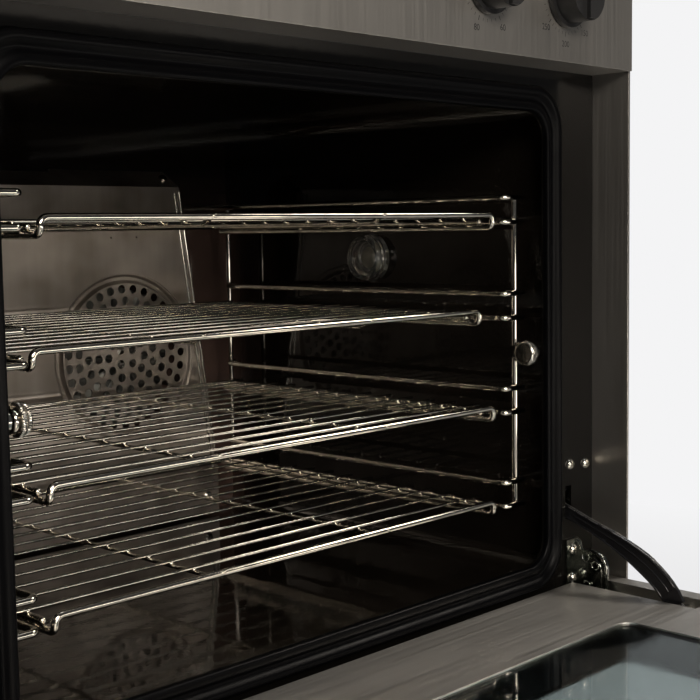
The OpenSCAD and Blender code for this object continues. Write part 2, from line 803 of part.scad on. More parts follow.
module fan_motor() {
    color("#7a7d80") about_y(fan_x, fan_z) difference() {
        union() {
            translate([0, 0, motor_y]) box([-motor_plate / 2, motor_plate / 2], [-motor_plate / 2, motor_plate / 2],
                [0, motor_plate_t]);
            for (a = [-1, 1], b = [-1, 1]) translate([a * motor_post, b * motor_post, skin_y])
                cylinder(d = motor_post_d, h = motor_y - skin_y);
            translate([0, 0, motor_y + motor_plate_t]) cylinder(d = bearing_d, h = bearing_l);
            translate([0, 0, motor_y + motor_plate_t + bearing_l]) {
                box([-stack_w / 2, stack_w / 2], [-stack_w / 2 + 8, stack_w / 2 - 8], [0, stack_t]);
                box([-stack_w / 2 + 8, stack_w / 2 - 8], [-stack_w / 2, stack_w / 2], [0, stack_t]);
            }
            translate([0, 0, motor_y + motor_plate_t + bearing_l + stack_t]) cylinder(d = bearing_d, h = bearing_l);
            for (a = [-1, 1]) translate([a * (stack_w / 2 - 12), 0, motor_y + motor_plate_t])
                cylinder(d = 6, h = bearing_l);
        }
        translate([0, 0, motor_y - 1]) cylinder(d = shaft_d + 2 * running, h = shaft_to + 1 - motor_y);
    }
}

module heating_element() {
    start = asin(2 * element_gap / element_ring);
    color("#5a5550") about_y(fan_x, fan_z) {
        translate([0, 0, element_y]) rotate([0, 0, 90 + start]) rotate_extrude(angle = 360 - 2 * start)
            translate([element_ring / 2, 0]) circle(d = element_d);
        for (e = [-1, 1]) translate([e * element_gap, element_leg_drop, 0]) {
            translate([0, 0, element_y - element_d / 2]) cylinder(d = element_d, h = motor_y - element_y + 22);
            translate([0, 0, skin_y]) cylinder(d = 13, h = 4, $fn = 6);
            translate([0, 0, back_y - 2]) cylinder(d = 12, h = 2);
        }
    }
}

// Side racks
module runner(z, straight) {
    front = rack_y - rack_wire + 0.3;
    rear = rear_post_y + rack_wire - 0.3;
    tip = post_x + rack_wire;
    splay_y = rear_post_y - runner_splay;
    rod([runner_x, front + bend_r, z], [runner_x, straight ? back_y - 1 : splay_y, z], rack_wire);
    translate([runner_x + bend_r, front + bend_r, z]) rotate([0, 0, 180]) rotate_extrude(angle = 90)
        translate([bend_r, 0]) circle(d = rack_wire);
    rod([runner_x + bend_r, front, z], [tip, front, z], rack_wire);
    // a straight runner has a cross piece at the rear post, the others splay out to it
    if (straight) rod([runner_x, rear, z], [tip, rear, z], rack_wire);
    else {
        translate([runner_x, splay_y, z]) sphere(d = rack_wire);
        rod([runner_x, splay_y, z], [post_x + 0.5, rear_post_y - rack_wire + 0.5, z], rack_wire);
    }
}

module rack() {
    low = support_z - post_end;
    high = support_z + 3 * level_pitch + guard_gap + post_end;
    jog = stud_d / 2 + rack_wire / 2 + 0.2;
    color("gainsboro") {
        rod([post_x, rear_post_y, low], [post_x, rear_post_y, high], rack_wire);
        rod([post_x, rack_y, low], [post_x, rack_y, nut_z - jog], rack_wire);
        rod([post_x, rack_y, nut_z + jog], [post_x, rack_y, high], rack_wire);
        // the front post is looped forward round the stud
        for (k = [-1, 1]) {
            rod([post_x, nut_y, nut_z + k * jog], [post_x, rack_y, nut_z + k * jog], rack_wire);
            translate([post_x, rack_y, nut_z + k * jog]) sphere(d = rack_wire);
        }
        translate([post_x, nut_y, nut_z]) rotate([0, 90, 0]) rotate([0, 0, 180]) rotate_extrude(angle = 180)
            translate([jog, 0]) circle(d = rack_wire);
        // the uppermost wire runs on to the rear wall and steadies the rack there
        for (n = [0 : 3], g = [0, guard_gap])
            runner(support_z + n * level_pitch + g, n == 3 && g > 0);
        for (z = [peg_z, peg_z + level_pitch])
            rod([post_x, rear_post_y, z], [wall_x + liner_t + peg_reach, rear_post_y, z], rack_wire);
    }
}

module rack_studs() {
    color("lightgray") for (s = [-1, 1]) on_side(s) about_x(nut_y, nut_z) {
        translate([0, 0, nut_x + 2]) cylinder(d = stud_d, h = wall_x + liner_t + 9 - nut_x - 2);
        translate([0, 0, wall_x + liner_t]) cylinder(d = 9.6, h = 5, $fn = 6);
        translate([0, 0, collar_x]) cylinder(d = stud_d + 2, h = wall_x - collar_x);
        translate([0, 0, collar_x]) cylinder(d = collar_d, h = 2);
    }
}

module thumb_nuts() {
    color("white") for (s = [-1, 1]) on_side(s) about_x(nut_y, nut_z) difference() {
        union() {
            translate([0, 0, nut_x]) cylinder(d1 = nut_face, d2 = nut_neck, h = nut_l - nut_rim);
            translate([0, 0, nut_x + nut_l - nut_rim]) cylinder(d = nut_d, h = nut_rim);
        }
        translate([0, 0, nut_x + 2 - running]) cylinder(d = stud_d + 2 * running, h = nut_l);
    }
}

// Shelves
module shelf_half() {
    x = side_bars / 2;
    rear = shelf_y + shelf_d;
    rod([0, shelf_y, front_z], [x - hook_r, shelf_y, front_z], bar_d);
    // the front bar dips at its end and turns back along the side
    translate([x - hook_r, shelf_y, front_z - hook_r]) rotate([90, 0, 0]) rotate_extrude(angle = 90)
        translate([hook_r, 0]) circle(d = bar_d);
    translate([x, shelf_y + hook_r, front_z - hook_r]) rotate([0, 90, 0]) rotate([0, 0, -90])
        rotate_extrude(angle = 90) translate([hook_r, 0]) circle(d = bar_d);
    rod([x, shelf_y + hook_r, hook_z], [x, rear - 2 * bend_r, hook_z], bar_d);
    translate([x, rear - 2 * bend_r, hook_z]) sphere(d = bar_d + weld);
    // the rail on top of it carries the cross wires
    translate([x, shelf_y + rail_from, rail_z]) sphere(d = bar_d + weld);
    rod([x, shelf_y + rail_from, rail_z], [x, rear - bend_r, rail_z], bar_d);
    translate([x - bend_r, rear - bend_r, rail_z]) rotate_extrude(angle = 90)
        translate([bend_r, 0]) circle(d = bar_d);
    rod([0, rear, rail_z], [x - bend_r, rear, rail_z], bar_d);
    // the middle wires end on the back of the front bar
    rod([mid_bars / 2, shelf_y, front_z], [mid_bars / 2, shelf_y + mid_slope, mid_z], mid_d);
    translate([mid_bars / 2, shelf_y + mid_slope, mid_z]) sphere(d = mid_d + weld);
    rod([mid_bars / 2, shelf_y + mid_slope, mid_z], [mid_bars / 2, rear, mid_z], mid_d);
}
module shelf(level) {
    into = level == 2 ? shelf_2_in : 0;
    color("gainsboro") translate([0, into, support_z + (4 - level) * level_pitch]) {
        for (s = [-1, 1]) on_side(s) shelf_half();
        for (k = [0 : wire_count - 1]) {
            y = shelf_y + first_wire + k * wire_pitch;
            rod([-shelf_w / 2, y, cross_z], [shelf_w / 2, y, cross_z], wire_d);
        }
    }
}

// Lamp
module lamp_glass() {
    r = lamp_d / 2;
    color("white", 0.4) about_x(lamp_y, lamp_z) rotate_extrude() polygon([
        [0, lamp_x - lamp_reach], [r - 2 * lamp_rim, lamp_x - lamp_reach],
        [r - lamp_rim, lamp_x - lamp_reach + lamp_rim], [r, lamp_x - 1], [r, lamp_x + 4],
        [r - lamp_wall, lamp_x + 4], [r - lamp_rim - lamp_wall, lamp_x - lamp_reach + lamp_wall + 1],
        [0, lamp_x - lamp_reach + lamp_wall]
    ]);
}

module lamp_holder() {
    r = lamp_d / 2;
    color("silver") about_x(lamp_y, lamp_z) {
        difference() {
            translate([0, 0, lamp_x + liner_t]) cylinder(r = r + lamp_ring, h = lamp_depth);
            translate([0, 0, lamp_x - 2]) cylinder(r = r + 0.2, h = lamp_depth + liner_t);
        }
    }
}

module lamp_bulb() {
    color("lightyellow") about_x(lamp_y, lamp_z) {
        translate([0, 0, lamp_x + 3]) sphere(d = 22);
        translate([0, 0, lamp_x + 10]) cylinder(d = 13, h = lamp_depth - 12 + liner_t);
    }
}

// Hinges and stays
module hinge_bracket() {
    round_y = -bracket_reach + bracket_corner;
    color("lightsteelblue") {
        difference() {
            along_x([bracket_x, bracket_x + bracket_t]) {
                translate([round_y, hinge_z - bracket_lug]) square([-round_y, bracket_lug + bracket_up]);
                translate([-bracket_reach, hinge_z]) square([bracket_reach, bracket_up - bracket_corner]);
                translate([round_y, hinge_z + bracket_up - bracket_corner]) circle(bracket_corner);
                translate([hinge_y, hinge_z]) circle(bracket_lug);
                polygon([
                    [-5, hinge_z + bracket_up - 1], [-4, hinge_z + bracket_up + 6],
                    [0, hinge_z + leg_up[1]], [0, hinge_z + bracket_up - 1]
                ]);
            }
            about_x(hinge_y, hinge_z) cylinder(d = pin_d + 2 * running, h = hw);
        }
        difference() {
            box([leg_from, bracket_x], [-leg_t, 0], [hinge_z + leg_up[0], hinge_z + leg_up[1]]);
            for (k = [2, 3]) about_y(flange_screws[k][0], flange_screws[k][1])
                translate([0, 0, -4]) cylinder(d = screw_d + 0.2, h = 6);
        }
        for (p = [[-11, 35], [-20, 29], [-12, 12]]) about_x(p[0], hinge_z + p[1])
            translate([0, 0, bracket_x - 1.4]) cylinder(d = 6, h = 2);
    }
}

module hinge_screws() {
    color("lightgray") for (s = [-1, 1]) on_side(s) for (k = [0 : 3]) {
        seat = k < 2 ? 0 : -leg_t;
        about_y(flange_screws[k][0], flange_screws[k][1]) {
            translate([0, 0, seat]) cylinder(d = screw_d, h = flange_t + 4 - seat);
            translate([0, 0, seat]) rotate([180, 0, 0]) pan_head(head_d, head_t);
        }
    }
}

// U-shaped channel behind the flange that guards the stay from the insulation
module stay_channel() {
    low = channel_low;
    color("darkgray") difference() {
        union() {
            box([channel_in - channel_t, channel_in], [flange_t, channel_d], [low, channel_high]);
            box([channel_out, channel_out + channel_t], [flange_t, channel_d], [low, channel_high]);
            box([channel_in, channel_out], [flange_t, channel_d], [low, low + channel_t]);
            box([channel_in, stay_x + 29], [flange_t, flange_t + 1.5], [screw_row - 9, channel_high]);
        }
        for (k = [0, 1]) about_y(flange_screws[k][0], flange_screws[k][1]) cylinder(d = screw_d + 0.2, h = 20);
    }
}

function stay_rise(s) = s < 1 ? stay_bulge * sin(180 * pow(s, stay_skew)) : -stay_bulge * PI * stay_skew * (s - 1);
function stay_middle(s) = [pivot_y, pivot_z] + stay_dir * stay_run * s + stay_up * stay_rise(s);
function stay_width(s) =
    stay_half + stay_grow * min(1, max(0, (stay_wide[1] - s) / (stay_wide[1] - stay_wide[0])));
function stay_edge(side) = [
    for (k = [0 : stay_steps])
        let(s = stay_from + k / stay_steps * (1 + stay_tail / stay_run - stay_from),
            t = stay_middle(s + 0.001) - stay_middle(s - 0.001))
        stay_middle(s) + [-t.y, t.x] / norm(t) * side * stay_width(s)
];
function backwards(list) = [for (k = [len(list) - 1 : -1 : 0]) list[k]];

module stay_arm() {
    upper = stay_edge(1);
    lower = stay_edge(-1);
    tip = upper[stay_steps];
    hook = [
        tip - stay_dir * stay_hook_w, tip + stay_up * stay_hook - stay_dir * stay_hook_w,
        tip + stay_up * stay_hook, tip
    ];
    color("#1a1a1c") difference() {
        union() {
            along_x([stay_x - stay_t / 2, stay_x + stay_t / 2])
                polygon(concat([for (k = [0 : stay_steps - 2]) upper[k]], hook, backwards(lower)));
            about_x(pivot_y, pivot_z) translate([0, 0, stay_x - stay_t / 2]) cylinder(d = eye_d, h = stay_t);
        }
        about_x(pivot_y, pivot_z) cylinder(d = stay_pin_d + 2 * running, h = hw);
    }
}

// Door, drawn shut and then opened
module door_slots() {
    for (s = [-1, 1]) on_side(s)
        box([hinge_slot_in, hinge_slot_out], [door_out + door_sheet + 0.5, door_in + 1], [door_low - 1, hinge_slot_top]);
}

module door_frame() {
    color("silver") opened() difference() {
        box([-door_half, door_half], [door_out, door_in - door_sheet], [door_low, door_high]);
        box([-door_half + door_sheet, door_half - door_sheet], [door_out + door_sheet, door_in - 2 * door_sheet],
            [door_low + door_sheet, door_high - door_sheet]);
        box([-door_half + door_lip, door_half - door_lip], [door_out + door_sheet, door_in + 1],
            [door_low + door_lip, door_high - door_lip]);
        for (s = [-1, 1]) on_side(s)
            box([hinge_slot_in - 3, hinge_slot_out + 3], [door_in - 2.5 * door_sheet, door_in],
                [door_low + door_sheet, door_low + door_lip + 1]);
        for (s = [-1, 1], z = door_screw_z) about_y(s * door_screw_x, z)
            translate([0, 0, door_in - 3 * door_sheet]) cylinder(d = screw_d, h = 3 * door_sheet);
        along_y([door_out - 1, door_in])
            rounded([-window_w / 2, window_w / 2], [window_low, window_low + window_h], 12);
        door_slots();
        for (s = [-1, 1]) about_y(s * post_span / 2, handle_z)
            translate([0, 0, door_out - 1]) cylinder(d = 6.4, h = 4);
    }
}

module door_inner_panel() {
    color("#c9c6c0") opened() difference() {
        union() {
            box([-door_half, door_half], [door_in - door_sheet, door_in], [door_low, door_high]);
            for (s = [-1, 1]) on_side(s) {
                box([hinge_slot_out + 0.6, hinge_slot_out + 2.6], [door_out + door_sheet, door_in - door_sheet],
                    [door_low + door_sheet, hinge_slot_top]);
                box([hinge_slot_in - 2.6, hinge_slot_in - 0.6], [door_out + door_sheet, door_in - door_sheet],
                    [door_low + door_sheet, hinge_slot_top]);
            }
        }
        along_y([door_in - 3, door_in + 1])
            rounded([-window_w / 2, window_w / 2], [window_low, window_low + window_h], 12);
        door_slots();
        for (s = [-1, 1]) on_side(s) {
            about_x(hinge_y, hinge_z) cylinder(d = pin_d + 2 * running, h = hw);
            about_x(shut_pivot_y, shut_pivot_z) cylinder(d = stay_pin_d + 2 * running, h = hw);
            for (z = door_screw_z) about_y(door_screw_x, z) translate([0, 0, door_in - 3])
                cylinder(d = screw_d, h = 6);
        }
    }
}

module pane(y, lap, r) {
    along_y(y) rounded([-window_w / 2 - lap, window_w / 2 + lap], [window_low - lap, window_low + window_h + lap], r);
}

module door_outer_glass() {
    color("lightblue", 0.4) opened()
        pane([door_out + door_sheet, door_out + door_sheet + outer_glass_t], glass_lap, 16);
}

module door_inner_glass() {
    color("lightblue", 0.4) opened()
        pane([door_in - door_sheet - inner_glass_t, door_in - door_sheet], glass_lap, 16);
}

module glass_spacer() {
    front = door_out + door_sheet + outer_glass_t;
    back = door_in - door_sheet - inner_glass_t;
    color("#202020") opened() difference() {
        pane([front, back], glass_lap, 16);
        pane([front - 1, back + 1], 2, 12);
    }
}

module door_handle() {
    color("silver") opened() difference() {
        union() {
            about_x(handle_y, handle_z) translate([0, 0, -handle_l / 2]) cylinder(d = handle_d, h = handle_l);
            for (s = [-1, 1]) about_x(handle_y, handle_z)
                translate([0, 0, s * (handle_l / 2 + 1) - 1]) cylinder(d = handle_d - 3, h = 2);
        }
        for (s = [-1, 1]) about_y(s * post_span / 2, handle_z)
            translate([0, 0, handle_y + 2]) cylinder(d = 6.2, h = handle_d);
    }
}

module handle_posts() {
    color("gray") opened() for (s = [-1, 1]) about_y(s * post_span / 2, handle_z) {
        translate([0, 0, handle_y + handle_d / 2 - 1]) difference() {
            cylinder(d = post_d, h = door_out - handle_y - handle_d / 2 + 1);
            translate([0, 0, -handle_d / 2 + 1]) rotate([0, 90, 0]) translate([0, 0, -post_d])
                cylinder(d = handle_d + 0.1, h = 2 * post_d);
        }
        translate([0, 0, handle_y + 2.2]) cylinder(d = 6, h = door_out + door_sheet + 4 - handle_y - 2.2);
        translate([0, 0, door_out + door_sheet]) cylinder(d = 12, h = 4, $fn = 6);
    }
}

module hinge_pins() {
    color("lightgray") opened() for (s = [-1, 1]) on_side(s) {
        about_x(hinge_y, hinge_z) {
            translate([0, 0, hinge_slot_in - 3]) cylinder(d = pin_d, h = hinge_slot_out + 6 - hinge_slot_in);
            translate([0, 0, hinge_slot_in - 4.6]) cylinder(d = pin_d + 4, h = 2);
        }
        about_x(shut_pivot_y, shut_pivot_z) {
            translate([0, 0, hinge_slot_in - 3]) cylinder(d = stay_pin_d, h = hinge_slot_out + 6 - hinge_slot_in);
            translate([0, 0, hinge_slot_in - 4.6]) cylinder(d = stay_pin_d + 4, h = 2);
        }
    }
}

module door_screws() {
    color("lightgray") opened() for (s = [-1, 1], z = door_screw_z) about_y(s * door_screw_x, z) {
        translate([0, 0, door_in - 8]) cylinder(d = screw_d - 2 * running, h = 8);
        translate([0, 0, door_in]) pan_head(head_d - 1.5, 1.6);
    }
}

// Rear fittings
module terminal_block() {
    color("beige") {
        box([gland_x - terminal_w / 2, gland_x + terminal_w / 2],
            [rear_y - terminal_in - terminal_t, rear_y - terminal_in], [case_z + sheet, case_z + sheet + terminal_h]);
        for (k = [-1, 0, 1]) translate([gland_x + k * terminal_pitch, rear_y - terminal_in - terminal_t / 2,
            case_z + sheet + terminal_h]) cylinder(d = 8, h = 3);
    }
}

module cable_gland() {
    color("black") about_y(gland_x, gland_z) difference() {
        union() {
            translate([0, 0, rear_y - 12]) cylinder(d = gland_d, h = 14);
            translate([0, 0, rear_y]) cylinder(d = gland_d + 8, h = 5, $fn = 6);
            translate([0, 0, rear_y - sheet - 5]) cylinder(d = gland_d + 8, h = 5, $fn = 6);
        }
        translate([0, 0, rear_y - 13]) cylinder(d = 10, h = 30);
    }
}

module case_screws() {
    color("lightgray") for (s = [-1, 1], z = rear_screw_z) about_y(s * rear_screw_x, z) {
        translate([0, 0, rear_y - 8]) cylinder(d = screw_d - 2 * running, h = 8);
        translate([0, 0, rear_y]) pan_head(head_d, head_t);
    }
}

placed() mirror([1, 0, 0]) side_panel();  // side_panel_left
placed() side_panel();  // side_panel_right
placed() top_panel();
placed() rear_panel();
placed() base_pan();
placed() front_flange();
placed() control_panel();
placed() cavity_liner();
placed() insulation();
placed() door_gasket();
placed() rear_baffle();
placed() baffle_screws();
placed() mirror([1, 0, 0]) fan_guard();  // fan_guard_left
placed() fan_guard();  // fan_guard_right
placed() mirror([1, 0, 0]) heating_element();  // heating_element_left
placed() heating_element();  // heating_element_right
placed() mirror([1, 0, 0]) fan_motor();  // fan_motor_left
placed() fan_motor();  // fan_motor_right
placed() mirror([1, 0, 0]) rack();  // rack_left
placed() rack();  // rack_right
placed() rack_studs();
placed() thumb_nuts();
placed() lamp_glass();
placed() lamp_holder();
placed() lamp_bulb();
placed() mirror([1, 0, 0]) hinge_bracket();  // hinge_bracket_left
placed() hinge_bracket();  // hinge_bracket_right
placed() hinge_screws();
placed() mirror([1, 0, 0]) stay_channel();  // stay_channel_left
placed() stay_channel();  // stay_channel_right
placed() thermostat_body();
placed() timer_body();
placed() pilot_lamps();
placed() terminal_block();
placed() feet();
placed() cable_gland();
placed() case_screws();
placed() vent_tube();
placed() door_frame();
placed() door_inner_panel();
placed() door_outer_glass();
placed() door_inner_glass();
placed() glass_spacer();
placed() door_handle();
placed() handle_posts();
placed() hinge_pins();
placed() door_screws();
placed() mirror([1, 0, 0]) stay_arm();  // stay_arm_left
placed() stay_arm();  // stay_arm_right
placed() shelf(1);  // shelf_1
placed() shelf(2);  // shelf_2
placed() shelf(3);  // shelf_3
placed() shelf(4);  // shelf_4
placed() mirror([1, 0, 0]) fan_impeller();  // fan_left
placed() fan_impeller();  // fan_right
placed() mirror([1, 0, 0]) fan_shaft();  // fan_shaft_left
placed() fan_shaft();  // fan_shaft_right
placed() thermostat_knob();
placed() timer_knob();
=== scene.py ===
# %% [markdown]
# # Counter-top convection oven
# A steel oven with a black enamelled cavity, four wire shelves and a door that hangs open, level with
# the sill. Its solids come from CAD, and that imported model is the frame: what is made here sits on it,
# in the same metres and axes. +X is the oven's right, +Y goes into the oven and +Z is up.
# The whole oven could be modelled again in Blender. Instead the plain solids keep their CAD meshes and
# get a finish, and only the small pieces whose form shows up close are made anew. So both models keep
# one size, and what moves still fits.

import math

import bpy
import numpy as np
from mathutils import Matrix, Vector


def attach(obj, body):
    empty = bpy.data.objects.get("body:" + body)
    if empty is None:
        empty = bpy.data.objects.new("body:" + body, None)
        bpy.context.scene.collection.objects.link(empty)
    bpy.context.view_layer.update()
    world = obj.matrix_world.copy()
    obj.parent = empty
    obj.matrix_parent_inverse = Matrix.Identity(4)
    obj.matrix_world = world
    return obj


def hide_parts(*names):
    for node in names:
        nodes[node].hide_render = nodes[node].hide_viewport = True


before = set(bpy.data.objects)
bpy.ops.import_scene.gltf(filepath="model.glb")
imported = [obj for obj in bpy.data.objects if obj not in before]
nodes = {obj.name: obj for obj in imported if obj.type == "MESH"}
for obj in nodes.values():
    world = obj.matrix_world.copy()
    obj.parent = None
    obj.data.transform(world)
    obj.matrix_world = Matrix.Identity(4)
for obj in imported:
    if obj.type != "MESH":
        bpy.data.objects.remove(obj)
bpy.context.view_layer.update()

# %% [markdown]
# ## From the drawing to the frame
# Sizes are typed as they are in the drawing: in millimetres, with y = 0 on the face of the front
# flange. The frame is in metres, and its y = 0 is the middle of the depth with the door open. A piece
# could be made in millimetres and its object then scaled and moved. Its points are turned instead,
# because an object that stays at the origin keeps its pattern in place when it is exported.

# %% Drawing millimetres to frame metres
Y_SHIFT = 42.5


def at(x, y, z):
    """Frame metres are (x, y - shift, z) / 1000 of drawing millimetres, for numbers or whole arrays."""
    x, y, z = np.broadcast_arrays(x, y, z)
    return np.stack([x, y - Y_SHIFT, z], -1) * 0.001


print("the flange's face is at y =", round(float(at(0, 0, 0)[1]), 4), "m")

# %% [markdown]
# ## Colours and shader nodes
# A colour is written as it looks on a screen, as sRGB hex, but light is worked out with linear values.
# Linear numbers could be typed in; hex is kept because it can be set beside a colour picker, and one
# function turns it. Shader nodes could be placed by hand in the editor. Here one small function adds a
# node with its settings and links, because a finish then reads as a short list. Patterns use object
# coordinates, which are metres, so a pattern's scale is one over its real size.


# %% Colour helper
def linear(hex_colour):
    """Linear RGBA of sRGB hex: the value over 12.92 when it is small, otherwise the value plus 0.055,
    over 1.055, to the power 2.4."""
    c = np.array([int(hex_colour[i : i + 2], 16) / 255 for i in (1, 3, 5)])
    c = np.where(c <= 0.04045, c / 12.92, ((c + 0.055) / 1.055) ** 2.4)
    return (*[float(v) for v in c], 1.0)


print("screen grey #808080 is", round(linear("#808080")[0], 3), "in linear light")


# %% Node helpers
def feed(tree, node, **inputs):
    """Sets or links a node's sockets: a tuple (node, output) is linked, anything else is the value.
    An underscore stands for a space, and _0, _1 and _2 are sockets by number."""
    for key, value in inputs.items():
        socket = node.inputs[int(key[1:])] if key[0] == "_" else node.inputs[key.replace("_", " ")]
        if isinstance(value, tuple) and isinstance(value[0], bpy.types.Node):
            tree.links.new(value[0].outputs[value[1]], socket)
        else:
            socket.default_value = value


def add(tree, kind, settings=None, stops=None, **inputs):
    """Adds a shader node of a kind, with its settings, its sockets and, for a colour ramp, two stops,
    each a position and a grey or a colour."""
    made = tree.nodes.new("ShaderNode" + kind)
    for key, value in (settings or {}).items():
        setattr(made, key, value)
    if stops:
        for element, (place, value) in zip(made.color_ramp.elements, stops):
            element.position = place
            element.color = value if isinstance(value, tuple) else (value, value, value, 1.0)
    feed(tree, made, **inputs)
    return made


def per_mm(size_mm):
    """Scale of a pattern whose features are that wide: 1000 over the millimetres."""
    return 1000.0 / size_mm


finishes = []


def start(name):
    """A new material with its tree and shader, and the source of object coordinates."""
    finishes.append(name)
    material = bpy.data.materials.new(name)
    material.use_nodes = True
    tree = material.node_tree
    coords = add(tree, "TexCoord")
    return material, tree, tree.nodes["Principled BSDF"], (coords, "Object")


print("a pattern of 10 mm has the scale", per_mm(10))

# %% [markdown]
# ## Brushed sheet
# The case, the door and the rear baffle are stainless sheet, brushed with an abrasive belt that leaves
# fine parallel scratches. A highlight is drawn out across them. The scratches could be cut into the
# mesh or painted on an image. Here noise that is stretched along the grain varies the roughness and
# tilts the surface, the shader's anisotropy draws the highlight out, and soft patches change the tone
# as rolling and wiping do. That looks right near and far, and needs no image. Real scratches are about
# 0.1 mm wide, too fine to show in the picture, so they are drawn 0.7 mm wide.

# %% Brushed finish
SCRATCHES_MM = (0.7, 160.0)
STREAKS_MM = (14.0, 260.0)
WAVE_WIDTH_MM = 55.0
SCRATCH_DEPTH = 0.0004
EDGE_RADIUS = 0.0007


def brush_marks(tree, coords, size_mm, grain, detail):
    """Noise stretched along the grain: its scale is one over the length on that axis, and one over
    the width on the other two."""
    scale = [per_mm(size_mm[0])] * 3
    scale["xyz".index(grain)] = per_mm(size_mm[1])
    placed = add(tree, "Mapping", Vector=coords, Scale=scale)
    return add(tree, "TexNoise", Vector=(placed, "Vector"), Scale=1.0, Detail=detail, Roughness=0.6)


def brushed(name, light, dark, grain, rough=(0.26, 0.42), cloud_mm=90.0, bump=0.05, metal=1.0,
            waves_mm=0.15, streak=0.4):
    """Tone is (streaks times streak plus patches) over (1 + streak), from dark to light. Roughness
    follows the scratches between its two values. The tangent lies in the plane that the grain crosses,
    so highlights spread across the grain. metal below 1 leaves the faint matt veil of old or greasy
    sheet. waves_mm is the height of the slow waves that thin sheet keeps from rolling and folding."""
    material, tree, shader, coords = start(name)
    scratches = brush_marks(tree, coords, SCRATCHES_MM, grain, 4.0)
    streaks = brush_marks(tree, coords, STREAKS_MM, grain, 2.0)
    patches = add(tree, "TexNoise", Vector=coords, Scale=per_mm(cloud_mm), Detail=3.0)
    total = add(tree, "Math", {"operation": "MULTIPLY_ADD"}, _0=(streaks, "Fac"), _1=streak,
                _2=(patches, "Fac"))
    tone = add(tree, "Math", {"operation": "DIVIDE"}, _0=(total, "Value"), _1=1.0 + streak)
    colour = add(tree, "ValToRGB", stops=[(0.36, linear(dark)), (0.64, linear(light))],
                 Fac=(tone, "Value"))
    roughness = add(tree, "ValToRGB", stops=[(0.3, rough[0]), (0.7, rough[1])], Fac=(scratches, "Fac"))
    soft_edge = add(tree, "Bevel", {"samples": 4}, Radius=EDGE_RADIUS)
    swell = add(tree, "TexNoise", Vector=coords, Scale=per_mm(WAVE_WIDTH_MM), Detail=1.0)
    waves = add(tree, "Bump", Strength=1.0, Distance=waves_mm * 0.001, Height=(swell, "Fac"),
                Normal=(soft_edge, "Normal"))
    relief = add(tree, "Bump", Strength=bump, Distance=SCRATCH_DEPTH, Height=(scratches, "Fac"),
                 Normal=(waves, "Normal"))
    across = [0.0 if axis == grain else 0.7071 for axis in "xyz"]
    spread = add(tree, "CombineXYZ", X=across[0], Y=across[1], Z=across[2])
    feed(tree, shader, Base_Color=(colour, "Color"), Metallic=metal, Roughness=(roughness, "Color"),
         Anisotropic=0.6, Tangent=(spread, "Vector"), Normal=(relief, "Normal"))
    return material


print("scratches are drawn", SCRATCHES_MM[0], "mm wide and", SCRATCHES_MM[1], "mm long")

# %% Sheet metals
# side panels and control panel: stainless, brushed upright; an even, slightly warm grey
case_steel = brushed("brushed_stainless_upright", "#bbb7b1", "#afaba5", "z", (0.3, 0.38), bump=0.03)
# top panel: the same sheet, brushed across; highlights run to the front
top_steel = brushed("brushed_stainless_across", "#bdbab4", "#b1aea8", "x", (0.3, 0.38), bump=0.03)
# rear baffle and fan guards: stainless that heat has browned; soft brown clouds, wavy reflections
baffle_steel = brushed("heat_tinted_stainless", "#b2aaa2", "#7f776f", "z", (0.28, 0.37), 80.0, 0.03, 0.93,
                       1.2, 0.18)
# door skins and handle: stainless, brushed across; light and satiny
door_steel = brushed("brushed_stainless_door", "#c5c2bd", "#b8b5b0", "x", (0.3, 0.45))
# rear panel, base pan and vent: steel dipped in zinc; cool grey with small cloudy spangles
galvanised = brushed("galvanised_sheet", "#a9acad", "#8b8f91", "x", (0.35, 0.55), 22.0, 0.03)
# impellers: sheet steel coated with aluminium; dull silver
fan_metal = brushed("aluminised_steel", "#b4b4b1", "#93938f", "x", (0.35, 0.5), 30.0, 0.04)
print(len(finishes), "sheet metals")

# %% [markdown]
# ## Plated metal
# Shelves and racks are chromed wire, nearly a mirror. Nuts, screws and hinges are plated more thinly
# and have been handled for years. One colour with one roughness would make them all shine alike. Here
# cloudy noise leads the roughness and the tint from fresh to worn over a few millimetres, and a fine
# relief breaks up the reflections, because that is what handling leaves on plate. The relief is drawn
# 1.2 mm wide, coarser than real pitting, so that it shows.

# %% Polished finish
WORN_TINT = "#a8a49c"
PITTING_MM = 1.2
FINE_RELIEF = 0.0002


def polished(name, colour, rough=0.1, worn=0.22, spots_mm=9.0, bump=0.02):
    """Roughness goes from rough to worn, and the tint from its colour to a dull one, with the noise."""
    material, tree, shader, coords = start(name)
    patches = add(tree, "TexNoise", Vector=coords, Scale=per_mm(spots_mm), Detail=4.0)
    roughness = add(tree, "ValToRGB", stops=[(0.35, rough), (0.75, worn)], Fac=(patches, "Fac"))
    tint = add(tree, "ValToRGB", stops=[(0.3, linear(colour)), (0.8, linear(WORN_TINT))],
               Fac=(patches, "Fac"))
    pits = add(tree, "TexNoise", Vector=coords, Scale=per_mm(PITTING_MM), Detail=2.0)
    relief = add(tree, "Bump", Strength=bump, Distance=FINE_RELIEF, Height=(pits, "Fac"))
    feed(tree, shader, Base_Color=(tint, "Color"), Metallic=1.0, Roughness=(roughness, "Color"),
         Normal=(relief, "Normal"))
    return material


print("pits are drawn", PITTING_MM, "mm wide")

# %% Plated metals
# shelves and racks: drawn wire, chromed; sharp, bright, faintly warm lines of light
chrome_wire = polished("chromed_wire", "#d8d2c6", 0.05, 0.12, 14.0)
# screws, nuts and shafts: plated steel; bright with softer reflections
plated = polished("plated_steel", "#cfccc4", 0.1, 0.24)
# hinge brackets and stay channels: pressed steel, zinc plated; dark, faintly green, uneven shine
zinc = polished("zinc_plate", "#747d78", 0.08, 0.24, 7.0, 0.3)
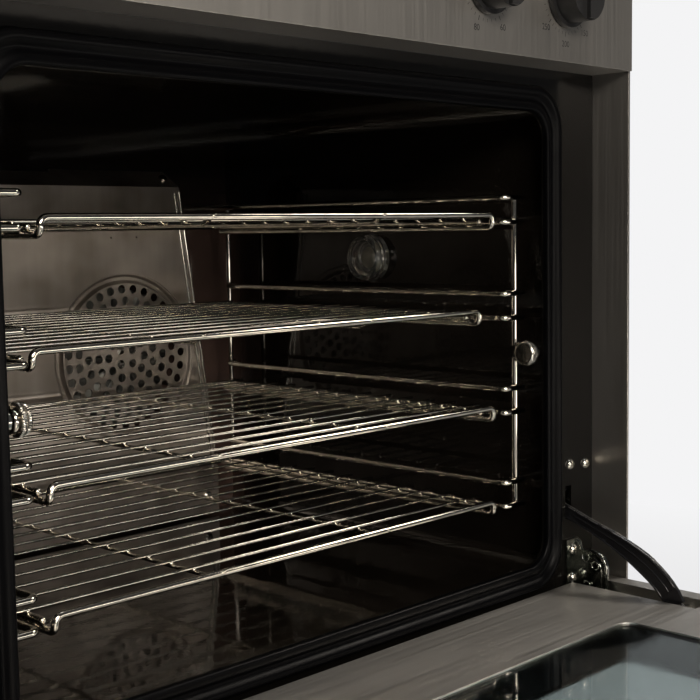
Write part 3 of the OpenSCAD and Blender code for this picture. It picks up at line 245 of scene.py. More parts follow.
# upper edges of the stays: a thin strip of light metal on the black coat, a painted highlight line
edge_highlight_metal = polished("painted_highlight_stay_edge", "#85878b", 0.22, 0.4, 5.0)
# heating elements: sheathed tube, oxidised in use; brown and nearly matt
heater_tube = polished("oxidised_heater_tube", "#5d5148", 0.35, 0.55, 12.0)
print(len(finishes), "metals in all")

# %% [markdown]
# ## Enamel
# The cavity is coated with black enamel, a glass fused onto the sheet in a furnace. It mirrors the
# shelves, but its surface ripples faintly like orange peel and holds tiny light flecks. At the back,
# low down, it is made brown: partly the browning of heat, and partly painted light, lighter than heat
# alone would make it, where little light reaches. A plain glossy black would look like plastic. Here two
# sizes of noise make the ripple, the centres of small cells make the flecks, and the brown grows with
# depth and fades upwards, because each of these can then be matched on its own.

# %% Enamel finish
PEEL_MM, RIPPLE_MM, CLOUD_MM = 6.0, 45.0, 70.0
FLECK_SPACING_MM, FLECK_EDGE = 3.2, 0.07
BROWN_AND_PAINTED_LIGHT_FADE, ENAMEL_IOR = 0.06, 1.55


def enamel(name, base, rough, flecks, heat_brown_and_painted_light=None, shine=0.5):
    """A fleck shows within 0.07 of a cell's centre. The ripple's height is the fine noise plus three
    times the slow one. The brown, partly heat browning and partly painted light, is the share of the way
    from begin to full in y, times a share in z that falls to none over 60 mm above the height fade."""
    material, tree, shader, coords = start(name)
    peel = add(tree, "TexNoise", Vector=coords, Scale=per_mm(PEEL_MM), Detail=2.0)
    slow = add(tree, "TexNoise", Vector=coords, Scale=per_mm(RIPPLE_MM), Detail=1.0)
    ripple = add(tree, "Math", {"operation": "MULTIPLY_ADD"}, _0=(slow, "Fac"), _1=3.0, _2=(peel, "Fac"))
    relief = add(tree, "Bump", Strength=0.12, Distance=0.0003, Height=(ripple, "Value"))
    cells = add(tree, "TexVoronoi", Vector=coords, Scale=per_mm(FLECK_SPACING_MM))
    tint = add(tree, "ValToRGB", stops=[(0.0, linear(flecks)), (FLECK_EDGE, linear(base))],
               Fac=(cells, "Distance"))
    # low at the back the enamel is made brown and lighter: partly heat tint, partly painted light where
    # little light reaches
    if heat_brown_and_painted_light:
        split = add(tree, "SeparateXYZ", Vector=coords)
        depth = add(tree, "MapRange", Value=(split, "Y"), From_Min=heat_brown_and_painted_light["begin"],
                    From_Max=heat_brown_and_painted_light["full"])
        low = add(tree, "MapRange", Value=(split, "Z"), From_Min=heat_brown_and_painted_light["fade"] + BROWN_AND_PAINTED_LIGHT_FADE,
                  From_Max=heat_brown_and_painted_light["fade"])
        amount = add(tree, "Math", {"operation": "MULTIPLY"}, _0=(depth, "Result"), _1=(low, "Result"))
        tint = add(tree, "MixRGB", Fac=(amount, "Value"), Color1=(tint, "Color"),
                   Color2=linear(heat_brown_and_painted_light["colour"]))
    cloud = add(tree, "TexNoise", Vector=coords, Scale=per_mm(CLOUD_MM), Detail=3.0)
    roughness = add(tree, "ValToRGB", stops=[(0.3, rough * 0.7), (0.75, rough * 1.5)],
                    Fac=(cloud, "Fac"))
    feed(tree, shader, Base_Color=(tint, "Color"), Roughness=(roughness, "Color"), IOR=ENAMEL_IOR,
         Specular_IOR_Level=shine, Normal=(relief, "Normal"))
    return material


print("flecks lie about", FLECK_SPACING_MM, "mm apart")

# %% Cavity and flange enamel
# cavity: black vitreous enamel; a deep mirror, slightly brown; low at the back, behind the shelves, browner
# and lighter: heat tint with painted light
cavity_enamel = enamel("black_cavity_enamel", "#100d0a", 0.05, "#3a3632",
                       {"begin": 0.318, "full": 0.344, "fade": 0.365, "colour": "#4b3c36"})
# front flange: a thinner black coat, satin; dark with a faint even sheen
flange_coat = enamel("satin_black_flange", "#090807", 0.12, "#12100f", shine=0.26)
print(len(finishes), "finishes so far")

# %% [markdown]
# ## Plastics, rubber and coats
# Knobs, feet and the seal are moulded, and take the fine tooth of their mould. The stays have a baked
# coat, and the wool is a mat of fibres. Each could have a recipe of its own. One recipe does for them
# all, with its colour, roughness and tooth as numbers, because they differ in degree only. Real tooth
# is about 0.05 mm wide, too fine to show, so it is drawn 0.5 mm wide or more.

# %% Moulded finish
BROAD_MM = 25.0


def moulded(name, colour, rough, tooth_mm=0.5, tooth=0.08, shine=0.5):
    """The tooth is a relief of fine noise. Broad noise leads the roughness from 0.85 to 1.2 of its
    value, and the colour down to 0.78 of its own."""
    material, tree, shader, coords = start(name)
    fine = add(tree, "TexNoise", Vector=coords, Scale=per_mm(tooth_mm), Detail=2.0)
    relief = add(tree, "Bump", Strength=tooth, Distance=FINE_RELIEF, Height=(fine, "Fac"))
    broad = add(tree, "TexNoise", Vector=coords, Scale=per_mm(BROAD_MM), Detail=3.0)
    roughness = add(tree, "ValToRGB", stops=[(0.3, rough * 0.85), (0.7, rough * 1.2)],
                    Fac=(broad, "Fac"))
    base = linear(colour)
    darker = (*[v * 0.78 for v in base[:3]], 1.0)
    shade = add(tree, "ValToRGB", stops=[(0.35, base), (0.65, darker)], Fac=(broad, "Fac"))
    feed(tree, shader, Base_Color=(shade, "Color"), Roughness=(roughness, "Color"),
         Normal=(relief, "Normal"), Specular_IOR_Level=shine)
    return material


print("broad noise is", BROAD_MM, "mm wide")

# %% Mouldings and coats
# door seal: moulded silicone; the deepest black, hardly any sheen
seal = moulded("black_silicone", "#030304", 0.34, 0.8, 0.05, 0.06)
# stays: steel with a baked black coat; smooth, with a soft shine
stay_coat = moulded("black_stay_coat", "#141416", 0.26, 0.6, 0.1, 0.7)
# knobs and cable gland: moulded black plastic; satin
black_plastic = moulded("black_moulded_plastic", "#161617", 0.42)
# bodies of the controls: moulded ivory plastic; pale and even
ivory_plastic = moulded("ivory_moulded_plastic", "#e3dcc6", 0.45)
# lenses of the pilot lamps: moulded amber plastic; smooth and strongly coloured
amber_lens = moulded("amber_lens", "#c9660d", 0.2, 2.0, 0.03)
# feet: moulded rubber; matt with a coarse tooth
foot_rubber = moulded("foot_rubber", "#161515", 0.7, 0.7, 0.2)
# insulation: pressed mineral wool; yellow and rough, no shine
wool = moulded("mineral_wool", "#b7a273", 0.9, 1.5, 0.6)
# motors: stacked steel sheets, painted; a flat mid grey
motor_coat = moulded("motor_steel", "#55585c", 0.45, 1.0, 0.1)
# dial marks: printed ink; dark and flat
ink = moulded("printed_dark_ink", "#1b1b1c", 0.5)
print(len(finishes), "finishes so far")

# %% [markdown]
# ## Glass
# The lamp has a pressed glass cap, the door has two toughened panes, and the bulb is frosted. Glass
# could be faked with a see-through colour, but then nothing bends behind it. The shader's transmission
# is used, with smears that roughen it in patches, because old glass is never quite clean.

# %% Glass finish
SMEAR_MM, GLASS_IOR = 35.0, 1.5


def glass(name, colour, rough=0.02, clear=1.0):
    """Roughness rises by 0.1 where the smears are. clear below 1 leaves a faint white veil."""
    material, tree, shader, coords = start(name)
    smears = add(tree, "TexNoise", Vector=coords, Scale=per_mm(SMEAR_MM), Detail=5.0)
    roughness = add(tree, "ValToRGB", stops=[(0.4, rough), (0.8, rough + 0.1)], Fac=(smears, "Fac"))
    feed(tree, shader, Base_Color=linear(colour), Roughness=(roughness, "Color"), IOR=GLASS_IOR,
         Transmission_Weight=clear)
    return material


print("glass has the refractive index", GLASS_IOR)

# %% Lamp, door and bulb glass
# lamp cap: pressed glass; clear, with bright ribs and a faint veil
lamp_clear = glass("pressed_lamp_glass", "#f4f1ec", 0.0, 0.985)
# door panes: toughened glass; clear, slightly grey
door_pane = glass("toughened_glass", "#c9d2d1")
# bulb: frosted glass; soft and warm white
bulb_glass = glass("frosted_bulb", "#efe6c9", 0.35)
print(len(finishes), "finishes in all")

# %% [markdown]
# ## Finishes on the CAD pieces
# Every solid of the drawing is one part of the real oven, made of one material. The materials could be
# given one by one in the editor. A list from finish to parts does the same, because it shows at a
# glance what is made of what, and the print tells if a part was forgotten.

# %% Assign
FINISH = {
    case_steel: ["side_panel_left", "side_panel_right", "control_panel"],
    top_steel: ["top_panel"],
    galvanised: ["rear_panel", "base_pan", "vent_tube", "lamp_holder"],
    flange_coat: ["front_flange"],
    cavity_enamel: ["cavity_liner"],
    wool: ["insulation"],
    seal: ["door_gasket", "glass_spacer"],
    baffle_steel: ["rear_baffle", "fan_guard_left", "fan_guard_right"],
    plated: ["baffle_screws", "rack_studs", "thumb_nuts", "hinge_screws", "case_screws", "hinge_pins",
             "door_screws", "fan_shaft_left", "fan_shaft_right"],
    heater_tube: ["heating_element_left", "heating_element_right"],
    motor_coat: ["fan_motor_left", "fan_motor_right"],
    chrome_wire: ["rack_left", "rack_right", "shelf_1", "shelf_2", "shelf_3", "shelf_4"],
    lamp_clear: ["lamp_glass"],
    bulb_glass: ["lamp_bulb"],
    zinc: ["hinge_bracket_left", "hinge_bracket_right", "stay_channel_left", "stay_channel_right"],
    ivory_plastic: ["thermostat_body", "timer_body", "terminal_block"],
    amber_lens: ["pilot_lamps"],
    foot_rubber: ["feet"],
    black_plastic: ["cable_gland", "thermostat_knob", "timer_knob"],
    door_steel: ["door_frame", "door_inner_panel", "door_handle", "handle_posts"],
    door_pane: ["door_outer_glass", "door_inner_glass"],
    stay_coat: ["stay_arm_left", "stay_arm_right"],
    fan_metal: ["fan_left", "fan_right"],
}
for material, names in FINISH.items():
    for name in names:
        nodes[name].data.materials.clear()
        nodes[name].data.materials.append(material)
left_over = sorted(set(nodes) - {n for names in FINISH.values() for n in names})
print("nodes without a finish:", left_over)

# %% [markdown]
# ## From points to pieces
# A smooth form can be laid out as a grid of points, rows by columns, like a net pulled over it. The
# faces could be drawn one at a time. Here all the quads between neighbouring points are worked out at
# once with numpy, because that is quick and leaves no gap where the net closes on itself. A piece's
# volume tells whether its faces point outwards, and a wrong net is turned over.


# %% Grid and piece helpers
def grid_faces(rows, cols, wrap_rows=False, wrap_cols=False):
    """Point (r, c) has the number r * cols + c, and each quad joins it with its neighbours in the next
    row and column, counted round again where a direction closes."""
    r = np.arange(rows if wrap_rows else rows - 1)
    c = np.arange(cols if wrap_cols else cols - 1)
    r, c = np.meshgrid(r, c, indexing="ij")
    r2, c2 = (r + 1) % rows, (c + 1) % cols
    return np.stack([r * cols + c, r * cols + c2, r2 * cols + c2, r2 * cols + c], -1).reshape(-1, 4)


def signed_volume(verts, faces):
    """Six times the volume that the faces enclose: the sum of the triple products of their fans."""
    total = 0.0
    for k in range(1, faces.shape[1] - 1):
        a, b, c = verts[faces[:, 0]], verts[faces[:, k]], verts[faces[:, k + 1]]
        total += np.einsum("ij,ij->", a, np.cross(b, c))
    return total


def add_piece(name, verts, faces, material, body, sharp=35.0):
    """A closed mesh object with its faces outward, smooth but for edges sharper than that many
    degrees, riding on a body of the frame."""
    verts, faces = np.asarray(verts, float), np.asarray(faces)
    if signed_volume(verts - verts.mean(0), faces) < 0:
        faces = faces[:, ::-1]
    mesh = bpy.data.meshes.new(name)
    mesh.from_pydata(verts.tolist(), [], faces.tolist())
    mesh.polygons.foreach_set("use_smooth", np.ones(len(faces), bool))
    mesh.set_sharp_from_angle(angle=math.radians(sharp))
    mesh.materials.append(material)
    mesh.update()
    obj = bpy.data.objects.new(name, mesh)
    bpy.context.scene.collection.objects.link(obj)
    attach(obj, body)
    return obj


print("a net of 3 by 4 points has", len(grid_faces(3, 4)), "quads")

# %% [markdown]
# ## Door seal
# A silicone profile is pressed round the opening, and the door closes against it. Its section is a
# soft inner lip, a groove and a rounded outer bead. A curve with that section as its bevel could run
# round the opening. Here each point of the section gives one rounded rectangle instead: its half size
# grows with the distance w from the opening, and its corner radius grows from the opening's to the
# seal's. Then the lip keeps its width in the corners.

# %% Seal
OPEN_W, OPEN_Z = 464.0, (110.0, 456.0)
OPEN_R, SEAL_R, SEAL_W = 20.0, 31.0, 19.0
# distance from the opening, and height off the flange
SECTION = [(0.0, 0.0), (0.0, 2.6), (0.5, 4.0), (1.6, 4.6), (3.2, 4.5), (5.0, 4.2), (6.6, 3.2), (7.8, 2.2),
           (8.8, 1.8), (10.0, 2.1), (11.4, 3.4), (12.6, 4.8), (14.0, 5.5), (15.6, 5.7), (17.2, 5.2),
           (18.3, 4.0), (19.0, 2.2), (19.0, 0.0)]
section_w, section_h = np.array(SECTION).T
corner = np.linspace(0, math.pi / 2, 14)
mid_z, half_x, half_z = sum(OPEN_Z) / 2, OPEN_W / 2, (OPEN_Z[1] - OPEN_Z[0]) / 2
radius = OPEN_R + (SEAL_R - OPEN_R) * section_w / SEAL_W
columns = []
for turn, (sx, sz) in enumerate([(1, 1), (-1, 1), (-1, -1), (1, -1)]):
    angle = corner + turn * math.pi / 2
    cx = sx * (half_x + section_w - radius)
    cz = mid_z + sz * (half_z + section_w - radius)
    x = cx[None] + np.cos(angle)[:, None] * radius
    z = cz[None] + np.sin(angle)[:, None] * radius
    columns.append(at(x, -section_h[None], z))
ring = np.concatenate(columns)
seal_faces = grid_faces(len(ring), len(section_w), wrap_rows=True, wrap_cols=True)
door_seal = add_piece("door_seal", ring.reshape(-1, 3), seal_faces, seal, "case", 60)
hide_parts("door_gasket")
print("door seal:", len(seal_faces), "quads")

# %% [markdown]
# ## Thumb nuts of the racks
# A nut that fingers can turn holds each side rack on its stud. It has a flat dished face, a knurled
# body and, past a groove, a knurled flange on the side of the rack post. The knurls could be cut from
# a cylinder one by one. Here a profile is turned about the stud's axis, and the radius of its knurled
# rows rises and falls with a cosine of the angle, because one number then sets how many knurls there
# are and another how deep they go.

# %% Turned shapes
KNURLS, KNURL_DEPTH, KNURL_ROWS = 44, 0.022, (6, 12)
NUT_Y, NUT_Z, NUT_X = 7.5, 274.0, 216.35
# height from the face, and radius: from the middle of the face round to the bore
NUT_PROFILE = [(0.5, 0.0), (0.4, 5.2), (0.05, 7.2), (0.0, 7.9), (0.25, 8.3), (0.8, 8.7), (1.2, 9.0),
               (2.9, 9.0), (3.2, 8.0), (3.8, 7.9), (4.0, 8.9), (4.4, 9.4), (5.7, 9.4), (6.2, 9.1),
               (6.3, 8.6), (6.3, 3.1), (1.9, 3.1), (1.9, 0.0)]


def turned(profile, sides, ripple=None):
    """Each (height, radius) of the profile becomes a ring: x is the height, y and z are the radius
    times cosine and sine of the angle. ripple(angle, row) multiplies the radius. The first and last
    points lie on the axis, so the ends close."""
    profile = np.asarray(profile, float)
    angle = np.linspace(0, 2 * math.pi, sides, endpoint=False)
    radius = np.repeat(profile[:, 1:2], sides, 1)
    if ripple is not None:
        radius = radius * ripple(angle[None, :], np.arange(len(profile))[:, None])
    height = np.repeat(profile[:, 0:1], sides, 1)
    verts = np.stack([height, radius * np.cos(angle), radius * np.sin(angle)], -1).reshape(-1, 3)
    return verts, grid_faces(len(profile), sides, wrap_cols=True)


def merge(parts):
    """Several (points, quads) pairs as one: each part's numbers go up by the points before it."""
    counts = np.cumsum([0] + [len(v) for v, _ in parts[:-1]])
    faces = np.concatenate([f + n for (_, f), n in zip(parts, counts)])
    return np.concatenate([v for v, _ in parts]), faces


def knurl(angle, row):
    """One plus the depth times the cosine of the angle times the knurls, on the knurled rows only."""
    band = (row >= KNURL_ROWS[0]) & (row <= KNURL_ROWS[1])
    return 1 + np.where(band, KNURL_DEPTH * np.cos(KNURLS * angle), 0.0)


print(KNURLS, "knurls,", round(2 * KNURL_DEPTH * max(r for _, r in NUT_PROFILE), 2), "mm deep")

# %% Thumb nuts
nuts = []
for side in (-1, 1):
    verts, faces = turned(NUT_PROFILE, KNURLS * 6, knurl)
    x = side * (NUT_X + verts[:, 0])
    nuts.append((at(x, NUT_Y + verts[:, 1], NUT_Z + verts[:, 2]), faces if side > 0 else faces[:, ::-1]))
verts, faces = merge(nuts)
thumb_nuts = add_piece("knurled_thumb_nuts", verts, faces, plated, "case", 40)
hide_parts("thumb_nuts")
print("thumb nuts:", len(faces), "quads")

# %% [markdown]
# ## Weld nuggets
# Resistance welding presses two wires together and leaves a small bright lump where they cross: on the
# four long bars of each shelf, where the two middle bars meet the front bar, and where support and
# guard wires meet the rack posts. A lump could be joined to every wire with a boolean. Flattened
# spheres that sit in the crossings do as well, because their lower half is hidden, and all of them are
# worked out in one pair of arrays.

# %% Weld helper
SUPPORT_Z, LEVEL, GUARD_GAP = 155.0, 73.0, 18.5
SHELF_FRONT, PUSHED_IN = 20.0, 13.0
BAR_X = np.array([-195.0, -75.0, 75.0, 195.0])
WIRE_Y = SHELF_FRONT + 28 + 23.5 * np.arange(13)
CROSSING_Z, FRONT_BAR_Z = 2.55, 5.4
WELD_AHEAD, WELD_LIFT = 1.8, 0.3
POST_X, POST_Y, REAR_POST_Y, POST_FACE = 225.0, 22.0, 361.5, 2.1
# half sizes in metres: over a bar, on the front bar, on a post
ON_BAR, ON_FRONT_BAR, ON_POST = (0.0019, 0.0018, 0.0015), (0.0022, 0.0008, 0.0014), (0.0026, 0.0012, 0.0026)


def weld_nuggets(centres, half_sizes, sides=10, rings=6):
    """A small ellipsoid at every centre: half size times (sin t cos p, sin t sin p, cos t), with t
    from pole to pole and p all the way round."""
    theta = np.linspace(0, math.pi, rings + 1)
    phi = np.linspace(0, 2 * math.pi, sides, endpoint=False)
    t, p = np.meshgrid(theta, phi, indexing="ij")
    unit = np.stack([np.sin(t) * np.cos(p), np.sin(t) * np.sin(p), np.cos(t)], -1).reshape(-1, 3)
    faces = grid_faces(rings + 1, sides, wrap_cols=True)
    centres = np.asarray(centres, float)
    verts = centres[:, None, :] + unit[None] * np.asarray(half_sizes, float)
    offset = (np.arange(len(centres)) * len(unit))[:, None, None]
    return verts.reshape(-1, 3), (faces[None] + offset).reshape(-1, 4)


print("a nugget over a bar is", 2000 * ON_BAR[2], "mm high")

# %% Nuggets
for level, name in enumerate(["top", "second", "third", "bottom"]):
    z = SUPPORT_Z + (3 - level) * LEVEL
    into = PUSHED_IN if name == "second" else 0.0
    x, y = np.meshgrid(BAR_X, WIRE_Y + into, indexing="ij")
    crossings = weld_nuggets(at(x.ravel(), y.ravel(), z + CROSSING_Z), ON_BAR)
    front_bar = weld_nuggets(at(BAR_X[1:3], SHELF_FRONT + into - WELD_AHEAD, z + FRONT_BAR_Z + WELD_LIFT),
                             ON_FRONT_BAR)
    verts, faces = merge([crossings, front_bar])
    add_piece(f"shelf_welds_{name}", verts, faces, chrome_wire, f"shelf_{name}")
post_y = np.array([POST_Y - POST_FACE, REAR_POST_Y - POST_FACE])
wire_z = (SUPPORT_Z + LEVEL * np.arange(4)[:, None] + np.array([0.0, GUARD_GAP])).ravel()
x, y, z = np.meshgrid([-POST_X, POST_X], post_y, wire_z, indexing="ij")
verts, faces = weld_nuggets(at(x.ravel(), y.ravel(), z.ravel()), ON_POST)
add_piece("rack_welds", verts, faces, chrome_wire, "case")
print("welds:", 4 * (BAR_X.size * WIRE_Y.size + 2), "on shelves and", x.size, "on racks")

# %% [markdown]
# ## Curled edges of the rear baffle
# Each slanting edge of the baffle is curled over so that it doesn't cut, and shows as two fine round
# lines side by side, from the shoulder, where the baffle is widest, to the fold at its top. The curl
# could be bent from the sheet with a modifier. Two round wires laid on the sheet give the same lines
# of light, because only the outside of a curl is ever seen.

# %% Round wire
EDGE_LOW, EDGE_TOP = (206.0, 146.0), (168.0, 411.0)
CURL_Y, CURL_OFFSETS, CURL_RADIUS = 361.8, (1.3, 6.6), 0.0014
ANY_SIDE = (0.3, 0.2, 0.93)


def round_wire(path, radius, sides=10):
    """Rings of points round a path: point plus radius times (cos a times normal plus sin a times
    across). Each normal is the one before, less its share along the path, so that the rings turn as
    little as possible. Rings of no size close the ends."""
    path = np.asarray(path, float)
    tangent = np.gradient(path, axis=0)
    tangent /= np.linalg.norm(tangent, axis=1)[:, None]
    normal = np.cross(tangent[0], ANY_SIDE)
    rings = []
    angle = np.linspace(0, 2 * math.pi, sides, endpoint=False)
    for k, (point, along) in enumerate(zip(path, tangent)):
        normal = normal - along * np.dot(normal, along)
        normal /= np.linalg.norm(normal)
        across = np.cross(along, normal)
        size = radius if np.isscalar(radius) else radius[k]
        ring = np.cos(angle)[:, None] * normal + np.sin(angle)[:, None] * across
        rings.append(point + ring * size)
    ends = [np.repeat(path[:1], sides, 0), *rings, np.repeat(path[-1:], sides, 0)]
    return np.concatenate(ends), grid_faces(len(path) + 2, sides, wrap_cols=True)


print("a curl is", 2000 * CURL_RADIUS, "mm thick")

# %% Baffle edges
slant = np.array(EDGE_TOP) - np.array(EDGE_LOW)
inward = np.array([-slant[1], slant[0]]) / np.linalg.norm(slant)
share = np.linspace(0.01, 0.985, 12)[:, None]
curls = []
for side in (-1, 1):
    for offset in CURL_OFFSETS:
        points = np.array(EDGE_LOW) + share * slant + offset * inward
        curls.append(round_wire(at(side * points[:, 0], CURL_Y, points[:, 1]), CURL_RADIUS))
verts, faces = merge(curls)
add_piece("baffle_curls", verts, faces, plated, "case", 60)
print("baffle curls:", len(curls))

# %% [markdown]
# ## Lamp glass
# The lamp looks into the oven through a pressed glass cap: a flat front with a raised rim, then a
# ribbed side that widens towards the wall. It could be stacked from cylinders, but pressed glass has
# no sharp step anywhere. So one profile of its outside and its inside is turned about the lamp's axis,
# and the thickness of the glass, which bends what is seen through it, is a real one.

# %% Lamp
WALL_X = 246.0
LAMP_Y, LAMP_Z, LAMP_REACH = 193.0, 345.5, 12.5
# height from the front of the rim, and radius
OUTSIDE = [(1.1, 0.0), (1.1, 13.0), (0.7, 15.2), (0.1, 16.6), (0.0, 17.6), (0.5, 18.6), (1.6, 19.2),
           (3.0, 19.2), (3.6, 18.7), (4.6, 18.7), (5.2, 19.5), (6.4, 19.6), (7.0, 19.1), (8.0, 19.1),
           (8.6, 20.0), (10.0, 20.3), (12.5, 20.5), (16.5, 20.5)]
INSIDE = [(16.5, 17.5), (9.0, 17.2), (4.6, 15.8), (3.2, 14.0), (3.0, 11.0), (3.0, 0.0)]
verts, faces = turned(OUTSIDE + INSIDE, 72)
front = WALL_X - LAMP_REACH
lamp_points = at(front + verts[:, 0], LAMP_Y + verts[:, 1], LAMP_Z + verts[:, 2])
lamp = add_piece("lamp_cap", lamp_points, faces, lamp_clear, "case", 50)
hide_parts("lamp_glass")
print("lamp cap:", len(faces), "quads")

# %% [markdown]
# ## Screw heads of the hinges
# The brackets are held by domed pan heads with a cross recess. The cross could be cut with a boolean,
# which leaves thin, badly shaped faces. Here the radius stays round and the height dips wherever a
# point lies near one of the four arms: a point's distance from its nearest arm is its radius times the
# sine of the angle between them. The net stays regular, so the dome shades smoothly.

# %% Hinge screws
HINGE_Y, HINGE_Z = -23.0, 73.0
# place in x and z, and how far the seat stands off the flange
SCREWS = [(267.0, 182.0, 0.0), (288.0, 180.0, 0.0), (267.5, HINGE_Z + 41, 2.5), (267.5, HINGE_Z + 18, 2.5)]
# height off the seat, and radius
HEAD = [(3.0, 0.0), (3.0, 0.5), (2.98, 1.0), (2.92, 1.5), (2.86, 1.9), (2.8, 2.2), (2.55, 2.8), (1.9, 3.6),
        (1.1, 4.15), (0.3, 4.45), (0.0, 4.45), (0.0, 2.0), (-5.0, 2.0), (-5.0, 0.0)]
ARM_HALF_WIDTH, ARM_REACH, CROSS_DEPTH = 0.5, 2.0, 1.1
sides = 64
head = np.array(HEAD)
angle = np.linspace(0, 2 * math.pi, sides, endpoint=False)
from_arm = np.abs(((angle + math.pi / 4) % (math.pi / 2)) - math.pi / 4)
aside = head[:, 1:] * np.sin(from_arm)[None]
in_cross = (aside < ARM_HALF_WIDTH) & (head[:, 1:] < ARM_REACH) & (head[:, :1] > 0)
heights = head[:, :1] - np.where(in_cross, CROSS_DEPTH, 0.0)
screw_parts = []
for side in (-1, 1):
    for sx, sz, seat in SCREWS:
        x = side * sx + head[:, 1:] * np.cos(angle)
        z = sz + head[:, 1:] * np.sin(angle)
        verts = at(x, -seat - heights, z).reshape(-1, 3)
        screw_parts.append((verts, grid_faces(len(head), sides, wrap_cols=True)))
verts, faces = merge(screw_parts)
screws = add_piece("hinge_screw_heads", verts, faces, plated, "case", 45)
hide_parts("hinge_screws")
print("hinge screws:", len(screw_parts))

# %% [markdown]
# ## Folded edges of the hinge brackets
# A bracket is pressed from zinc-plated sheet. Its free edge is curled into a rim with a fine fold line
# inside it, and a ring stands round each of its three pressed bosses. They could be bevels on the
# solid. Round wires that follow the outline and the bosses are simpler, because each takes one path,
# and they catch the light as a pressed rim does.

# %% Bracket rims
BOSSES, BOSS_X, BOSS_RING = [(-11.0, 35.0), (-20.0, 29.0), (-12.0, 12.0)], 273.1, 3.2
RIM_X, FOLD_X, RIM_BEND = 274.3, 274.4, 12.2
FOLD_IN, FOLD_DOWN = 4.2, 3.6
RIM_RADIUS, FOLD_RADIUS, RING_RADIUS = 0.0016, 0.0008, 0.0006
bend = np.linspace(0, math.pi / 2, 10)
corner_y, corner_z = -30 + 13, HINGE_Z + 40.5 - 13
outline_y = np.concatenate([[-1.0, -4.6, -6.0, -12.0], corner_y - RIM_BEND * np.sin(bend), [-29.2, -29.2]])
outline_z = np.concatenate([[HINGE_Z + 47.5, HINGE_Z + 46.0, HINGE_Z + 40.2, HINGE_Z + 39.7],
                            corner_z + RIM_BEND * np.cos(bend), [HINGE_Z + 20, HINGE_Z + 6]])
rims = []
ring_turn = np.linspace(0, 2 * math.pi, 25)
for side in (-1, 1):
    rims.append(round_wire(at(side * RIM_X, outline_y, outline_z), RIM_RADIUS))
    fold = at(side * FOLD_X, outline_y[3:] + FOLD_IN, outline_z[3:] - FOLD_DOWN)
    rims.append(round_wire(fold, FOLD_RADIUS, 8))
    for boss_y, boss_z in BOSSES:
        y = boss_y + BOSS_RING * np.cos(ring_turn)
        z = HINGE_Z + boss_z + BOSS_RING * np.sin(ring_turn)
        rims.append(round_wire(at(side * BOSS_X, y, z), RING_RADIUS, 8))
verts, faces = merge(rims)
add_piece("hinge_rims", verts, faces, zinc, "case", 60)
print("bracket rims:", len(rims))

# %% [markdown]
# ## Beads and painted edge highlights of the stays
# The stays carry the open door. They are curved steel straps with shallow beads pressed along both
# edges and the middle. Along the upper edge a thin strip of light metal lies on the black coat: a
# painted highlight. The beads could be part of the solid, but they are fine trim. Here the strap's
# middle line is worked out as in the drawing, and each bead is a thin round wire beside it, at a share
# of the strap's half width, because a bead then follows the strap where it narrows.

# %% Stay line
SLOT_Z, STAY_X = 144.0, 265.0
PIVOT_Z = HINGE_Z + 8
REACH = math.hypot(HINGE_Y, SLOT_Z - HINGE_Z)
PIVOT_Y = HINGE_Y - math.sqrt(REACH**2 - (PIVOT_Z - HINGE_Z) ** 2)
RISE, LEAN = 12.6, 0.65
HALF_WIDTH, WIDER_BY, TAPER_END, TAPER = 4.6, 3.6, 0.8, 0.45
span = np.array([0.0 - PIVOT_Y, SLOT_Z - PIVOT_Z])
run = np.linalg.norm(span)
along = span / run
up = np.array([-along[1], along[0]])


def stay_line(share):
    """Middle line of a stay as in the CAD: the chord from pivot to slot, plus a rise that is a sine
    of the share to the power 0.65, and straight on beyond the slot."""
    rise = np.where(share < 1, RISE * np.sin(math.pi * np.minimum(share, 1) ** LEAN),
                    -RISE * math.pi * LEAN * (share - 1))
    return np.array([PIVOT_Y, PIVOT_Z]) + share[:, None] * run * along + rise[:, None] * up


def stay_bead(offset, radius_mm, first, last):
    """The middle line plus offset times the half width, along the line's normal. The half width grows
    towards the pivot, and the bead thins to 0.3 of its radius at both ends."""
    share = np.linspace(first, last, 40)
    middle = stay_line(share)
    direction = np.gradient(middle, axis=0)
    direction /= np.linalg.norm(direction, axis=1)[:, None]
    normal = np.stack([-direction[:, 1], direction[:, 0]], -1)
    half = HALF_WIDTH + WIDER_BY * np.clip((TAPER_END - share) / TAPER, 0, 1)
    points = middle + normal * (half * offset)[:, None]
    size = np.full(len(share), radius_mm * 0.001)
    size[[0, -1]] *= 0.3
    return points, size


print("stay from pivot to slot:", round(float(run), 1), "mm")

# %% Stay beads and painted edge highlights
# share of the half width, radius in mm, and the shares of the length where it starts and ends
BEADS = ((0.86, 0.75, 0.12, 1.1), (0.1, 0.6, 0.12, 1.1), (-0.86, 0.75, 0.12, 1.1))
# the strip along the upper edge is a painted highlight in light metal
EDGE_HIGHLIGHT = (0.97, 0.55, 0.3, 1.1)
FACE_X, EDGE_X = 1.5, 1.35
for side, name in ((-1, "left"), (1, "right")):
    parts = []
    for face in (-1, 1):
        for bead in BEADS:
            points, size = stay_bead(*bead)
            parts.append(round_wire(at(side * STAY_X + face * FACE_X, points[:, 0], points[:, 1]), size, 8))
    verts, faces = merge(parts)
    add_piece(f"stay_beads_{name}", verts, faces, stay_coat, f"stay_{name}", 60)
    # strips of light metal along the upper edges, printed below as worn edges: painted highlights
    points, size = stay_bead(*EDGE_HIGHLIGHT)
    edges = [at(side * STAY_X + face * EDGE_X, points[:, 0], points[:, 1]) for face in (-1, 1)]
    verts, faces = merge([round_wire(edge, size, 8) for edge in edges])
    add_piece(f"stay_edge_highlights_{name}", verts, faces, edge_highlight_metal, f"stay_{name}", 60)
print("stay beads and worn edges on both stays")

